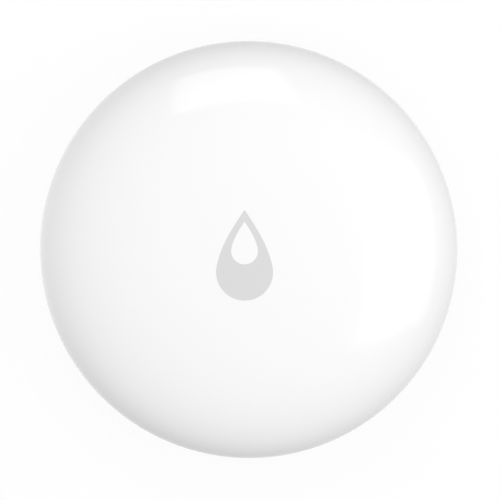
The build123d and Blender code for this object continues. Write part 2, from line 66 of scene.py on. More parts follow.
Point2 = tuple[float, float]
Point3 = tuple[float, float, float]
Points = tuple[Point2, ...]
Pair = tuple[float, float]
Spot = tuple[float, float, float, float]


class Body(Enum):
    """Bodies of the frame that pieces ride on."""

    HOUSING = "housing"
    COVER_CARRIER = "cover_carrier"
    COVER = "cover"
    CELL = "coin_cell"


class Slot(Enum):
    """Names of material slots."""

    SHELL = "shell_plastic"
    BASE = "base_plastic"
    SILICONE = "silicone"
    CELL = "cell_metal"
    DARK = "dark_plastic"
    STEEL = "contact_steel"
    COPPER = "copper"
    CERAMIC = "tan_ceramic"
    LAMP = "lamp_plastic"
    STAINLESS = "stainless"
    BRASS = "brass"


class Grain(Enum):
    """Direction in which a surface's fine lines run, as a stretch along X, Y and Z."""

    ALONG_X = (0.04, 1.0, 1.0)
    EVEN = (1.0, 1.0, 1.0)


class Kind(Enum):
    """Kinds of input that a geometry tree has."""

    NUMBER = "NodeSocketFloat"
    WHOLE = "NodeSocketInt"
    GEOMETRY = "NodeSocketGeometry"
    MATERIAL = "NodeSocketMaterial"
    OBJECT = "NodeSocketObject"


@dataclass(frozen=True)
class Wire:
    """Output of a node; numbers are worked out with the ordinary signs of arithmetic."""

    work: "NodeWork"
    socket: bpy.types.NodeSocket

    @property
    def node(self) -> bpy.types.Node:
        """Node that the output belongs to."""
        return self.socket.node

    def __add__(self, other: "Source") -> "Wire":
        """Sum of the two."""
        return self.work.calc("ADD", self, other)

    def __sub__(self, other: "Source") -> "Wire":
        """Difference of the two."""
        return self.work.calc("SUBTRACT", self, other)

    def __rsub__(self, other: "Source") -> "Wire":
        """Difference from a plain number."""
        return self.work.calc("SUBTRACT", other, self)

    def __mul__(self, other: "Source") -> "Wire":
        """Product of the two."""
        return self.work.calc("MULTIPLY", self, other)

    def __truediv__(self, other: "Source") -> "Wire":
        """Quotient of the two."""
        return self.work.calc("DIVIDE", self, other)

    def __rtruediv__(self, other: "Source") -> "Wire":
        """Plain number divided by this one."""
        return self.work.calc("DIVIDE", other, self)

    def __pow__(self, other: "Source") -> "Wire":
        """Power of this one."""
        return self.work.calc("POWER", self, other)


Source = Wire | float | int | bool | str | tuple | bpy.types.ID


class NodeWork:
    """Short way to add and join nodes in any node tree."""

    def __init__(self, tree: bpy.types.NodeTree) -> None:
        """Keeps the tree that the nodes go into."""
        self.tree = tree

    def feed(self, socket: bpy.types.NodeSocket, source: Source) -> None:
        """Links an output to a node's input, or sets the input's constant value.

        Args:
            socket: The input.
            source: Output of another node, or the value.
        """
        if isinstance(source, Wire):
            self.tree.links.new(source.socket, socket)
        else:
            socket.default_value = source

    def add(
        self,
        kind: str,
        inputs: Mapping[int | str, Source] | None = None,
        output: int | str = 0,
        **settings: object,
    ) -> Wire:
        """Adds a node.

        Args:
            kind: Blender's name of the node's type.
            inputs: What its inputs get, by index or name.
            output: Index or name of the output that is wanted.
            **settings: Properties of the node, set before its inputs.

        Returns:
            That output of the new node.
        """
        node = self.tree.nodes.new(kind)
        for name, value in settings.items():
            setattr(node, name, value)
        for key, source in (inputs or {}).items():
            self.feed(node.inputs[key], source)
        return Wire(self, node.outputs[output])

    def calc(self, operation: str, first: Source, second: Source = 0.0) -> Wire:
        """Result of one arithmetic step, under Blender's name for it."""
        return self.add("ShaderNodeMath", {0: first, 1: second}, operation=operation)

    def split(self, vector: Wire) -> tuple[Wire, ...]:
        """The X, Y and Z of a vector."""
        parts = self.add("ShaderNodeSeparateXYZ", {0: vector}).node.outputs
        return tuple(Wire(self, part) for part in parts)

    def join(self, x: Source, y: Source, z: Source) -> Wire:
        """A vector from its X, Y and Z."""
        return self.add("ShaderNodeCombineXYZ", {0: x, 1: y, 2: z})

    def away(self, x: Wire, y: Wire) -> Wire:
        """Distance of X and Y from zero."""
        return self.calc("SQRT", x * x + y * y)

    def noise(self, place: Wire, scale: float, detail: float) -> Wire:
        """Noise between 0 and 1, its scale in patches a metre."""
        return self.add("ShaderNodeTexNoise", {"Vector": place, "Scale": scale, "Detail": detail})

    def is_ray(self, *kinds: str) -> Wire:
        """Whether a ray of light is of one of some kinds, as 0 or 1.

        Args:
            *kinds: Blender's names of the kinds.

        Returns:
            The number.
        """
        total: Source = 0.0
        for kind in kinds:
            total = self.add("ShaderNodeLightPath", output=kind) + total
        return self.calc("MINIMUM", total, 1.0)


class GeometryTree(NodeWork):
    """Geometry Nodes tree with named inputs, run once on a mesh or kept live on a CAD node."""

    def __init__(self, name: str) -> None:
        """Starts a tree with a geometry input, a crease angle and a material.

        Args:
            name: Name of the tree.
        """
        super().__init__(bpy.data.node_groups.new(name, "GeometryNodeTree"))
        self.inlet = self.tree.nodes.new("NodeGroupInput")
        self.identifiers: dict[str, str] = {}
        self.geometry = self.input("Geometry", Kind.GEOMETRY)
        self.crease = self.input("Crease Angle")
        self.material = self.input("Material", Kind.MATERIAL)

    def input(self, name: str, kind: Kind = Kind.NUMBER) -> Wire:
        """Adds a named input to the tree.

        Args:
            name: Name shown for the input.
            kind: What it takes.

        Returns:
            The input's wire inside the tree.
        """
        item = self.tree.interface.new_socket(name, in_out="INPUT", socket_type=kind.value)
        self.identifiers[name] = item.identifier
        return Wire(self, self.inlet.outputs[name])

    def inputs(self, *names: str) -> list[Wire]:
        """Adds several named numbers to the tree's inputs."""
        return [self.input(name) for name in names]

    def grid(self, rows: Wire, steps: Wire) -> tuple[Wire, Wire, Wire]:
        """Adds a grid to be wound round the Z axis, with one column more than there are steps.

        Args:
            rows: Number of corners along the profile.
            steps: Steps round the axis.

        Returns:
            The grid, the row of each corner and its angle in radians.
        """
        columns = steps + 1.0
        grid = self.add("GeometryNodeMeshGrid", {"Vertices X": rows, "Vertices Y": columns})
        index = self.add("GeometryNodeInputIndex")
        row = self.calc("FLOOR", (index + 0.5) / columns)
        column = index - row * columns
        return grid, row, column / steps * FULL_TURN

    def position(self) -> Wire:
        """Place of each corner."""
        return self.add("GeometryNodeInputPosition")

    def move(self, geometry: Wire, place: Wire) -> Wire:
        """Moves the corners of a geometry to new places."""
        return self.add("GeometryNodeSetPosition", {0: geometry, "Position": place})

    def wind(self, grid: Wire, radius: Wire, angle: Wire, height: Wire) -> Wire:
        """Moves a grid's corners round the Z axis, into an open surface whose seam isn't merged yet."""
        x, y = (radius * self.calc(side, angle) for side in ("COSINE", "SINE"))
        return self.move(grid, self.join(x, y, height))

    def lift(self, geometry: Wire, height: Wire) -> Wire:
        """Raises a geometry by a height."""
        return self.add("GeometryNodeTransform", {0: geometry, "Translation": self.join(0.0, 0.0, height)})

    def merge(self, geometry: Wire) -> Wire:
        """Merges corners that lie on each other."""
        return self.add("GeometryNodeMergeByDistance", {0: geometry, "Distance": MERGE_DISTANCE})

    def together(self, *parts: Wire) -> Wire:
        """Joins geometries into one.

        Args:
            *parts: The geometries.

        Returns:
            The joined geometry.
        """
        joined = self.add("GeometryNodeJoinGeometry")
        for part in parts:
            self.feed(joined.node.inputs[0], part)
        return joined

    def places(self) -> Wire:
        """Adds an input for the object whose corners are places, and reads its geometry."""
        return self.add("GeometryNodeObjectInfo", {0: self.input("Places", Kind.OBJECT)}, output="Geometry")

    def at_places(self, places: Wire, piece: Wire) -> Wire:
        """Sets a piece at each place, turned about Z by the place's stored angle.

        Args:
            places: Geometry whose corners are the places.
            piece: Geometry of the piece.

        Returns:
            The copies as real geometry.
        """
        turn = self.add("GeometryNodeInputNamedAttribute", {0: TURN}, data_type="FLOAT")
        turned = {0: places, "Instance": piece, "Rotation": self.join(0.0, 0.0, turn)}
        return self.add("GeometryNodeRealizeInstances", {0: self.add("GeometryNodeInstanceOnPoints", turned)})

    def close(self, geometry: Wire) -> None:
        """Merges, smooths, realizes and gives the material, and ends the tree.

        Args:
            geometry: The finished geometry.
        """
        bend = self.add("GeometryNodeInputMeshEdgeAngle")
        sharp = self.add("FunctionNodeCompare", {0: bend, 1: self.crease}, operation="GREATER_THAN")
        faces = {0: self.merge(geometry), "Shade Smooth": True}
        smooth = self.add("GeometryNodeSetShadeSmooth", faces, domain="FACE")
        edges = {0: smooth, "Selection": sharp, "Shade Smooth": False}
        creased = self.add("GeometryNodeSetShadeSmooth", edges, domain="EDGE")
        real = self.add("GeometryNodeRealizeInstances", {0: creased})
        done = self.add("GeometryNodeSetMaterial", {0: real, "Material": self.material})
        self.tree.interface.new_socket("Geometry", in_out="OUTPUT", socket_type=Kind.GEOMETRY.value)
        self.feed(self.tree.nodes.new("NodeGroupOutput").inputs[0], done)

    def attach(self, thing: bpy.types.Object, values: Mapping[str, Source]) -> bpy.types.Modifier:
        """Puts the tree on an object as a modifier with its inputs set.

        Args:
            thing: The object.
            values: Inputs by name; lengths in metres, angles in radians.

        Returns:
            The modifier.
        """
        modifier = thing.modifiers.new(self.tree.name, "NODES")
        modifier.node_group = self.tree
        for name, value in values.items():
            modifier[self.identifiers[name]] = value
        return modifier

    def bake(self, thing: bpy.types.Object, values: Mapping[str, Source]) -> bpy.types.Object:
        """Runs the tree on an object and keeps the result as its plain mesh, faces outwards.

        Args:
            thing: The object; its own mesh is the tree's geometry.
            values: Inputs by name.

        Returns:
            The same object.
        """
        modifier = self.attach(thing, values)
        bpy.context.view_layer.update()
        evaluated = thing.evaluated_get(bpy.context.evaluated_depsgraph_get())
        mesh = bpy.data.meshes.new_from_object(evaluated)
        thing.modifiers.remove(modifier)
        mesh.materials.clear()
        mesh.materials.append(values["Material"])
        mesh.polygons.foreach_set("material_index", [0] * len(mesh.polygons))
        thing.data = mesh
        mesh.name = thing.name
        return outward(thing)


def outward(thing: bpy.types.Object) -> bpy.types.Object:
    """Turns a closed mesh's faces outwards if its volume comes out negative.

    Args:
        thing: Object with the mesh.

    Returns:
        The same object.
    """
    mesh = thing.data
    mesh.calc_loop_triangles()
    volume = 0.0
    for triangle in mesh.loop_triangles:
        a, b, c = (mesh.vertices[k].co for k in triangle.vertices)
        volume += a.dot(b.cross(c))
    if volume < 0:
        mesh.flip_normals()
    return thing


def raw_object(
    name: str,
    points: Iterable[Sequence[float]],
    edges: Iterable[Sequence[int]] = (),
    faces: Iterable[Sequence[int]] = (),
) -> bpy.types.Object:
    """Object at the origin with a mesh given in millimetres.

    Args:
        name: Name of the piece.
        points: Corners as X, Y and Z.
        edges: Pairs of corner indices.
        faces: Loops of corner indices.

    Returns:
        The new object.
    """
    mesh = bpy.data.meshes.new(name)
    mesh.from_pydata([[value * MM for value in point] for point in points], list(edges), list(faces))
    thing = bpy.data.objects.new(name, mesh)
    bpy.context.scene.collection.objects.link(thing)
    return thing


def profile_object(name: str, profile: Sequence[Point2]) -> bpy.types.Object:
    """Object that holds a half profile as a line of corners, given as radius and height."""
    corners = [(radius, 0.0, height) for radius, height in profile]
    return raw_object(name, corners, [(k, k + 1) for k in range(len(corners) - 1)])


def lines_object(name: str, lines: Iterable[Sequence[Point2]], level: float) -> bpy.types.Object:
    """Object that holds lines of corners at one height.

    Args:
        name: Name of the object.
        lines: X and Y of each line's corners; a line that ends where it starts is closed.
        level: Height of the lines.

    Returns:
        The object.
    """
    corners: list[Point3] = []
    edges: list[tuple[int, int]] = []
    for line in lines:
        is_closed = line[0] == line[-1]
        loop = line[:-1] if is_closed else line
        first, count = len(corners), len(loop)
        corners += [(x, y, level) for x, y in loop]
        edges += [(first + k, first + (k + 1) % count) for k in range(count if is_closed else count - 1)]
    return raw_object(name, corners, edges)


def places_object(name: str, spots: Sequence[Spot]) -> bpy.types.Object:
    """Object whose corners are places, each with its stored turn.

    Args:
        name: Name of the object.
        spots: X, Y and Z and the turn about Z of each place.

    Returns:
        The object.
    """
    thing = raw_object(name, [spot[:3] for spot in spots])
    turns = thing.data.attributes.new(TURN, "FLOAT", "POINT")
    turns.data.foreach_set("value", [math.radians(spot[3]) for spot in spots])
    return thing


def around(radius: float, angle: float) -> Point2:
    """Point at a radius and an angle from the X axis."""
    return radius * math.cos(math.radians(angle)), radius * math.sin(math.radians(angle))


def round_spots(radius: float, angles: Iterable[float], height: float = 0.0) -> list[Spot]:
    """Places round the Z axis, each turned to face outwards."""
    return [(*around(radius, angle), height, angle) for angle in angles]


def flat_spots(places: Iterable[Point2], height: float = 0.0, shift: float = 0.0) -> list[Spot]:
    """Places at one height, unturned and shifted along X."""
    return [(x + shift, y, height, 0.0) for x, y in places]


def even_angles(count: int) -> list[float]:
    """Evenly spaced angles round a full turn."""
    return [360.0 * k / count for k in range(count)]


def arc_points(centre: Point2, radius: float, start: float, end: float, spans: int) -> list[Point2]:
    """Points along an arc from one angle to another, both ends included."""
    steps = [around(radius, start + (end - start) * k / spans) for k in range(spans + 1)]
    return [(centre[0] + across, centre[1] + along) for across, along in steps]


def cap_points(reach: float, rise: float, pole: float, spans: int, side: int = 1) -> list[Point2]:
    """Half profile of a spherical cap, from its pole to its rim.

    Args:
        reach: Radius of the rim.
        rise: Height between the rim and the pole.
        pole: Height of the pole.
        spans: Number of spans.
        side: 1 for a cap that bulges up, -1 for one that bulges down.

    Returns:
        Radius and height of each point.
    """
    sphere = (reach**2 + rise**2) / (2 * rise)
    turn = math.degrees(math.asin(reach / sphere))
    return arc_points((0.0, pole - side * sphere), sphere, side * 90.0, side * (90.0 - turn), spans)


def disc_outline(centre: Point2, radius: float, spans: int = 24) -> list[Point2]:
    """Outline of a disc."""
    return arc_points(centre, radius, 0.0, 360.0, spans)[:-1]


def closed(outline: Sequence[Point2]) -> list[Point2]:
    """An outline with its first corner repeated at its end."""
    return [*outline, outline[0]]


def rectangle(middle: Point2, size: Pair) -> list[Point2]:
    """Closed line round a rectangle."""
    sides = ((0.5, 0.5), (-0.5, 0.5), (-0.5, -0.5), (0.5, -0.5))
    return closed([(middle[0] + a * size[0], middle[1] + b * size[1]) for a, b in sides])


def prism(
    name: str, outlines: Iterable[Sequence[Point2]], low: float, high: float, upright: bool = False
) -> bpy.types.Object:
    """Closed slabs over flat outlines.

    Args:
        name: Name of the piece.
        outlines: Outline of each slab, as X and Y, or as X and Z where they stand upright.
        low: Lower level along the axis that the outlines leave out.
        high: Upper level along it.
        upright: Whether the outlines stand in the XZ plane.

    Returns:
        The piece.
    """
    corners: list[Point3] = []
    faces: list[list[int]] = []
    for outline in outlines:
        area = sum(a[0] * b[1] - b[0] * a[1] for a, b in zip(outline, [*outline[1:], outline[0]]))
        loop = list(outline) if area > 0 else list(reversed(outline))
        first, count = len(corners), len(loop)
        for level in (low, high):
            corners += [(a, level, b) if upright else (a, b, level) for a, b in loop]
        faces.append([first + k for k in reversed(range(count))])
        faces.append([first + count + k for k in range(count)])
        for k in range(count):
            after = (k + 1) % count
            faces.append([first + k, first + after, first + count + after, first + count + k])
    return outward(raw_object(name, corners, faces=faces))


def settle(
    thing: bpy.types.Object, body: Body, replaces: Sequence[str] = ()
) -> bpy.types.Object:
    """Makes a finished piece ride on its body.

    Args:
        thing: The piece, in place.
        body: Body that it moves with.
        replaces: CAD nodes that it stands for.

    Returns:
        The piece.
    """
    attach(thing, body.value)
    if replaces:
        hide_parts(*replaces)
    LOG.info("%s rides on %s, %d faces", thing.name, body.value, len(thing.data.polygons))
    return thing


@dataclass(frozen=True)
class Section:
    """Section of a ring or disc: inner and outer radius, lower and upper height."""

    inner: float
    outer: float
    low: float
    high: float

    def square(self) -> list[Point2]:
        """Closed section of a ring with square corners."""
        head = [(radius, self.high) for radius in (self.outer, self.inner)]
        return closed([(self.inner, self.low), (self.outer, self.low), *head])

    def disc(self) -> list[Point2]:
        """Half profile of a disc, from the middle of its top to the middle of its underside."""
        return [(0.0, self.high), (self.outer, self.high), (self.outer, self.low), (0.0, self.low)]

    def soft(self, power: float = 2.8, spans: int = 28) -> list[Point2]:
        """Closed section of a ring with the round shape of a superellipse.

        Args:
            power: Power of the superellipse.
            spans: Number of spans.

        Returns:
            Radius and height of each corner.
        """
        points = []
        for turn in even_angles(spans):
            across, along = (math.copysign(abs(side) ** (2 / power), side) for side in around(1.0, turn))
            radius = (self.inner + self.outer + (self.outer - self.inner) * across) / 2
            points.append((radius, (self.low + self.high + (self.high - self.low) * along) / 2))
        return closed(points)


@dataclass(frozen=True)
class Crown:
    """Superelliptic dome: its full radius, its top, the height of its waist and its power."""

    radius: float
    top: float
    waist: float
    power: float

    def height_at(self, radius: float) -> float:
        """Height of the dome at a radius."""
        share = 1 - (radius / self.radius) ** self.power
        return self.waist + (self.top - self.waist) * share ** (1 / self.power)

    def radius_at(self, height: float) -> float:
        """Radius of the dome at a height."""
        share = 1 - ((height - self.waist) / (self.top - self.waist)) ** self.power
        return self.radius * share ** (1 / self.power)

    def turn_at(self, radius: float) -> float:
        """Angle of the dome's rule at a radius, from its axis, in radians."""
        return math.asin((radius / self.radius) ** (self.power / 2))

    def points(self, start: float, end: float, spans: int) -> list[Point2]:
        """Points along the dome, evenly spaced by the angle of its rule.

        Args:
            start: First angle in radians.
            end: Last angle.
            spans: Number of spans.

        Returns:
            Radius and height of each point, both ends included.
        """
        share = 2 / self.power
        points = []
        for k in range(spans + 1):
            turn = start + (end - start) * k / spans
            radius = self.radius * max(math.sin(turn), 0.0) ** share
            points.append((radius, self.waist + (self.top - self.waist) * math.cos(turn) ** share))
        return points

    def ridge(self, start: float, end: float, spans: int) -> list[Point2]:
        """Points along the dome, evenly spaced from one radius to another, both ends included."""
        radii = [start + (end - start) * k / spans for k in range(spans + 1)]
        return [(radius, self.height_at(radius)) for radius in radii]


@dataclass(frozen=True)
class Finish:
    """Procedural surface: a base colour with fine variation, grain in the bump and uneven gloss."""

    name: str
    colour: Point3
    roughness: float
    metallic: float = 0.0
    ior: float = 1.5
    grain: float = 0.12
    bump: float = 0.004
    variation: float = 0.01
    gloss_variation: float = 0.04
    direction: Grain = Grain.EVEN
    edge: float = 0.0
    coat: float = 0.0
    coat_roughness: float = 0.12
    transmission: float = 0.0
    sheen: float = 0.0

    def build(self) -> bpy.types.Material:
        """Makes the material.

        Returns:
            The new material.
        """
        material = bpy.data.materials.new(self.name)
        material.use_nodes = True
        material.diffuse_color = (*self.colour, 1.0)
        work = NodeWork(material.node_tree)
        place = work.add("ShaderNodeTexCoord", output="Object")
        relief = {"Strength": 1.0, "Distance": self.bump * MM, "Height": self.height(work, place)}
        if self.edge:
            relief["Normal"] = work.add("ShaderNodeBevel", {"Radius": self.edge * MM}, samples=4)
        sources: dict[str, Source] = {
            "Base Color": self.tone(work, place),
            "Roughness": self.gloss(work, place),
            "Normal": work.add("ShaderNodeBump", relief),
            "Metallic": self.metallic,
            "IOR": self.ior,
            "Coat Weight": self.coat,
            "Coat Roughness": self.coat_roughness,
            "Transmission Weight": self.transmission,
            "Sheen Weight": self.sheen,
        }
        shader = material.node_tree.nodes["Principled BSDF"]
        for name, source in sources.items():
            work.feed(shader.inputs[name], source)
        return material

    def height(self, work: NodeWork, place: Wire) -> Wire:
        """Fine relief of the surface, stretched along the grain's direction."""
        stretched = work.add("ShaderNodeMapping", {0: place, "Scale": self.direction.value})
        return work.noise(stretched, 1 / (self.grain * MM), detail=3.0)

    def gloss(self, work: NodeWork, place: Wire) -> Wire:
        """Roughness that differs a little in broad soft patches.

        Args:
            work: Nodes of the material.
            place: Place on the object.

        Returns:
            The roughness.
        """
        low, high = (self.roughness + side * self.gloss_variation for side in (-1, 1))
        patches = work.noise(place, GLOSS_PATCHES, detail=2.0)
        return work.add("ShaderNodeMapRange", {"Value": patches, "To Min": low, "To Max": high})

    def tone(self, work: NodeWork, place: Wire) -> Wire:
        """Base colour with a slight drift over the surface.

        Args:
            work: Nodes of the material.
            place: Place on the object.

        Returns:
            The colour.
        """
        drift = work.noise(place, COLOUR_PATCHES, detail=4.0)
        dark = tuple(value * (1 - self.variation) for value in self.colour)
        light = tuple(min(1.0, value * (1 + self.variation)) for value in self.colour)
        # The mix node has its two colours in inputs 6 and 7, and their mixture in output 2
        return work.add("ShaderNodeMix", {0: drift, 6: (*dark, 1.0), 7: (*light, 1.0)}, 2, data_type="RGBA")


@dataclass(frozen=True)
class TurnedMetal(Finish):
    """Metal with the fine rings that a lathe or a spinning brush leaves round its axes."""

    metallic: float = 1.0
    centres: Points = ((0.0, 0.0),)
    pitch: float = 0.06

    def height(self, work: NodeWork, place: Wire) -> Wire:
        """Rings round the nearest of the axes.

        Args:
            work: Nodes of the material.
            place: Place on the object.

        Returns:
            The relief.
        """
        x, y, z = work.split(place)
        nearest, *others = [work.away(x - centre[0] * MM, y - centre[1] * MM) for centre in self.centres]
        for other in others:
            nearest = work.calc("MINIMUM", nearest, other)
        rings = work.join(nearest / (self.pitch * MM), 0.0, z / (4 * self.pitch * MM))
        return work.noise(rings, 1.0, detail=4.0)


WHITE_SHELL = Finish("white_satin_shell", (0.93, 0.93, 0.93), 0.1, grain=0.09, bump=0.0012, variation=0.004)
WHITE_BASE = Finish(
    "white_matte_base", (0.9, 0.9, 0.9), 0.55, grain=0.14, bump=0.006, variation=0.008, edge=0.12
)
GREY_INK = Finish("grey_sign_ink", (0.69, 0.69, 0.69), 0.3, grain=0.05, bump=0.001)
SOFT_SILICONE = Finish(
    "soft_grey_silicone", (0.36, 0.38, 0.39), 0.62, grain=0.2, bump=0.006, variation=0.05, sheen=0.15
)
CELL_STEEL = TurnedMetal("spun_cell_steel", (0.62, 0.62, 0.6), 0.28, bump=0.0012, variation=0.03)
BLACK_PLASTIC = Finish("black_moulded_plastic", (0.018, 0.018, 0.02), 0.5, variation=0.15, edge=0.05)
SHEET_STEEL = Finish(
    "plated_sheet_steel", (0.6, 0.585, 0.55), 0.3, metallic=1.0, grain=0.08, bump=0.0015, variation=0.05,
    direction=Grain.ALONG_X,
)
GREEN_MASK = Finish(
    "green_solder_mask", (0.012, 0.11, 0.045), 0.32, grain=0.16, bump=0.003, variation=0.12, coat=0.3
)
MASKED_COPPER = Finish(
    "masked_copper", (0.09, 0.26, 0.08), 0.3, grain=0.1, bump=0.002, variation=0.1, coat=0.3
)
TAN_CERAMIC = Finish("tan_fired_ceramic", (0.42, 0.28, 0.15), 0.48, grain=0.07, variation=0.14)
LAMP_EPOXY = Finish(
    "lamp_epoxy", (0.86, 0.8, 0.5), 0.15, grain=0.2, bump=0.001, variation=0.04, coat=0.4
)
NATURAL_STEM = Finish(
    "natural_stem_plastic", (0.66, 0.64, 0.56), 0.45, grain=0.1, bump=0.002, variation=0.03, edge=0.05
)
CLEAR_GUIDE = Finish(
    "clear_light_guide", (0.94, 0.96, 0.97), 0.08, ior=1.58, grain=0.3, bump=0.001, transmission=0.92
)
STAINLESS = TurnedMetal(
    "polished_stainless", (0.55, 0.55, 0.54), 0.2, bump=0.001, variation=0.03, edge=0.06,
    centres=PROBE_CENTRES,
)
TINNED = Finish("tinned_solder", (0.62, 0.63, 0.65), 0.24, metallic=1.0, bump=0.003, variation=0.06)
GOLD_PAD = Finish(
    "gold_plated_pad", (0.86, 0.62, 0.26), 0.26, metallic=1.0, grain=0.1, bump=0.001, variation=0.05
)
SILK_INK = Finish("white_board_print", (0.82, 0.83, 0.8), 0.6, grain=0.06, bump=0.002, variation=0.05)
WHITE_CERAMIC = Finish("white_fired_ceramic", (0.78, 0.77, 0.73), 0.4, grain=0.07, bump=0.002, variation=0.05)
TURNED_BRASS = TurnedMetal(
    "turned_brass", (0.74, 0.52, 0.2), 0.27, bump=0.0015, variation=0.06, centres=PROBE_CENTRES
)


def smoothing_tree() -> GeometryTree:
    """Tree that merges a CAD node's loose triangles and smooths its curved faces.

    Returns:
        The tree.
    """
    tree = GeometryTree("smooth_cad_node")
    tree.close(tree.geometry)
    return tree


def revolved(tree: GeometryTree, steps: Wire, knurled: bool = False) -> Wire:
    """Turns a tree's line of profile corners round the Z axis.

    Args:
        tree: Tree whose geometry is the half profile, its corners in order.
        steps: Steps round the axis.
        knurled: Whether the tree gets inputs for grooves along the widest parts.

    Returns:
        The open surface, its seam not yet merged.
    """
    count = tree.add("GeometryNodeAttributeDomainSize", {0: tree.geometry})
    grid, row, angle = tree.grid(count, steps)
    sample = {0: tree.geometry, 1: tree.position(), 2: row}
    corner = tree.add("GeometryNodeSampleIndex", sample, data_type="FLOAT_VECTOR")
    radius, _, height = tree.split(corner)
    if knurled:
        number, depth, start = tree.inputs("Knurl Count", "Knurl Depth", "Knurl Radius")
        wave = (tree.calc("COSINE", angle * number) - 1.0) * 0.5
        radius = radius + wave * depth * tree.calc("GREATER_THAN", radius, start)
    return tree.wind(grid, radius, angle, height)


def revolve_tree() -> GeometryTree:
    """Tree that turns a half profile into a round piece.

    Returns:
        The tree, with its Steps Around input.
    """
    tree = GeometryTree("turned_piece")
    tree.close(revolved(tree, tree.input("Steps Around", Kind.WHOLE), knurled=True))
    return tree


def crown_tree() -> GeometryTree:
    """Tree of the domed shell: a superelliptic crown on a turned skirt.

    The tree's geometry is the skirt's half profile, from the outer waist round to the axis inside.

    Returns:
        The tree, with inputs for the crown's sizes.
    """
    tree = GeometryTree("superellipse_shell")
    steps, rings = (tree.input(name, Kind.WHOLE) for name in ("Steps Around", "Crown Rings"))
    full_radius, top, waist, power = tree.inputs(*CROWN_INPUTS)
    grid, row, angle = tree.grid(rings + 1.0, steps)
    fall = row / rings * (math.pi / 2)
    share = 2.0 / power
    radius = full_radius * tree.calc("SINE", fall) ** share
    rise = tree.calc("MAXIMUM", tree.calc("COSINE", fall), 0.0) ** share
    crown = tree.wind(grid, radius, angle, waist + (top - waist) * rise)
    tree.close(tree.together(revolved(tree, steps), crown))
    return tree


def copies_tree() -> GeometryTree:
    """Tree that sets copies of a piece at the corners of another mesh, each with the turn stored there.

    Returns:
        The tree, with its Places input.
    """
    tree = GeometryTree("copies_at_places")
    tree.close(tree.at_places(tree.places(), tree.geometry))
    return tree


def block_tree() -> GeometryTree:
    """Tree that sets a block with rounded edges at each corner of its geometry.

    Returns:
        The tree, with inputs for the block's sizes.
    """
    tree = GeometryTree("rounded_blocks")
    sizes = tree.inputs("Length", "Width", "Height")
    radius, spans = tree.input("Edge Radius"), tree.input("Edge Steps", Kind.WHOLE)
    count = spans * 2.0 + 2.0
    cube = tree.add("GeometryNodeMeshCube", {0: (2.0, 2.0, 2.0), 1: count, 2: count, 3: count})
    gap = 0.5 / spans
    cores, rounds = [], []
    for value, size in zip(tree.split(tree.position()), sizes):
        side = tree.calc("SIGN", value)
        rounds.append(side * (tree.calc("ABSOLUTE", value) * (gap + 1.0) - gap))
        cores.append(side * (size * 0.5 - radius))
    way = tree.add("ShaderNodeVectorMath", {0: tree.join(*rounds)}, operation="NORMALIZE")
    swell = tree.add("ShaderNodeVectorMath", {0: way, 3: radius}, operation="SCALE")
    spot = tree.add("ShaderNodeVectorMath", {0: tree.join(*cores), 1: swell}, operation="ADD")
    tree.close(tree.at_places(tree.geometry, tree.move(cube, spot)))
    return tree


def swept(tree: GeometryTree, path: Wire, section: Wire, scale: Source = 1.0) -> Wire:
    """Draws a section along a path, its normals kept upright and its ends closed.

    Args:
        tree: Tree of the two.
        path: Curve of the path.
        section: Curve of the section.
        scale: Scale of the section along the path.

    Returns:
        The closed mesh.
    """
    upright = tree.add("GeometryNodeSetCurveNormal", {0: path}, mode="Z_UP")
    parts = {0: upright, 1: section, "Scale": scale, "Fill Caps": True}
    return tree.add("GeometryNodeCurveToMesh", parts)


def strip_tree() -> GeometryTree:
    """Tree that lays flat strips with rounded bends along the edges of its geometry.

    Returns:
        The tree, with inputs for the strip's sizes.
    """
    tree = GeometryTree("flat_strips")
    width, thickness, bend = tree.inputs("Strip Width", "Strip Thickness", "Bend Radius")
    path = tree.add("GeometryNodeMeshToCurve", {0: tree.geometry})
    bends = {0: path, "Count": 3, "Radius": bend, "Limit Radius": True}
    soft = tree.add("GeometryNodeFilletCurve", bends, mode="POLY")
    section = tree.add("GeometryNodeCurvePrimitiveQuadrilateral", {"Width": width, "Height": thickness})
    tree.close(swept(tree, soft, section))
    return tree


def screw_tree(thread_steps: int = 20, end_scale: float = 0.02) -> GeometryTree:
    """Tree of a screw: a turned body with a cross cut into its head and a thread wound round its shank.

    Args:
        thread_steps: Steps in one turn of the thread.
        end_scale: Scale of the ridge where it runs out, half a turn from full.

    Returns:
        The tree, with inputs for the cross, the thread and the places of the copies.
    """
    tree = GeometryTree("threaded_screw")
    steps = tree.input("Steps Around", Kind.WHOLE)
    length, width, depth, level = tree.inputs("Cross Length", "Cross Width", "Cross Depth", "Cross Level")
    low, high, pitch = tree.inputs("Thread Low", "Thread High", "Thread Pitch")
    core, ridge = tree.inputs("Thread Core", "Thread Depth")
    body = tree.merge(revolved(tree, steps))
    cut = tree.add("GeometryNodeMeshBoolean", {0: body}, operation="DIFFERENCE", solver="EXACT")
    for across, along in ((length, width), (width, length)):
        bar = tree.add("GeometryNodeMeshCube", {0: tree.join(across, along, depth * 2.0)})
        tree.feed(cut.node.inputs[1], tree.lift(bar, level))
    rise = high - low
    turns = rise / pitch
    sizes = {"Rotations": turns, "Start Radius": core, "End Radius": core, "Height": rise}
    spiral = tree.add("GeometryNodeCurveSpiral", {"Resolution": thread_steps} | sizes)
    factor = tree.add("GeometryNodeSplineParameter")
    nearer = tree.calc("MINIMUM", factor, 1.0 - factor)
    fade = tree.calc("MINIMUM", nearer * (turns * 2.0), 1.0 - end_scale) + end_scale
    section = tree.add("GeometryNodeCurvePrimitiveCircle", {"Resolution": 3, "Radius": ridge})
    thread = tree.lift(swept(tree, spiral, section, fade), low)
    tree.close(tree.at_places(tree.places(), tree.together(cut, thread)))
    return tree


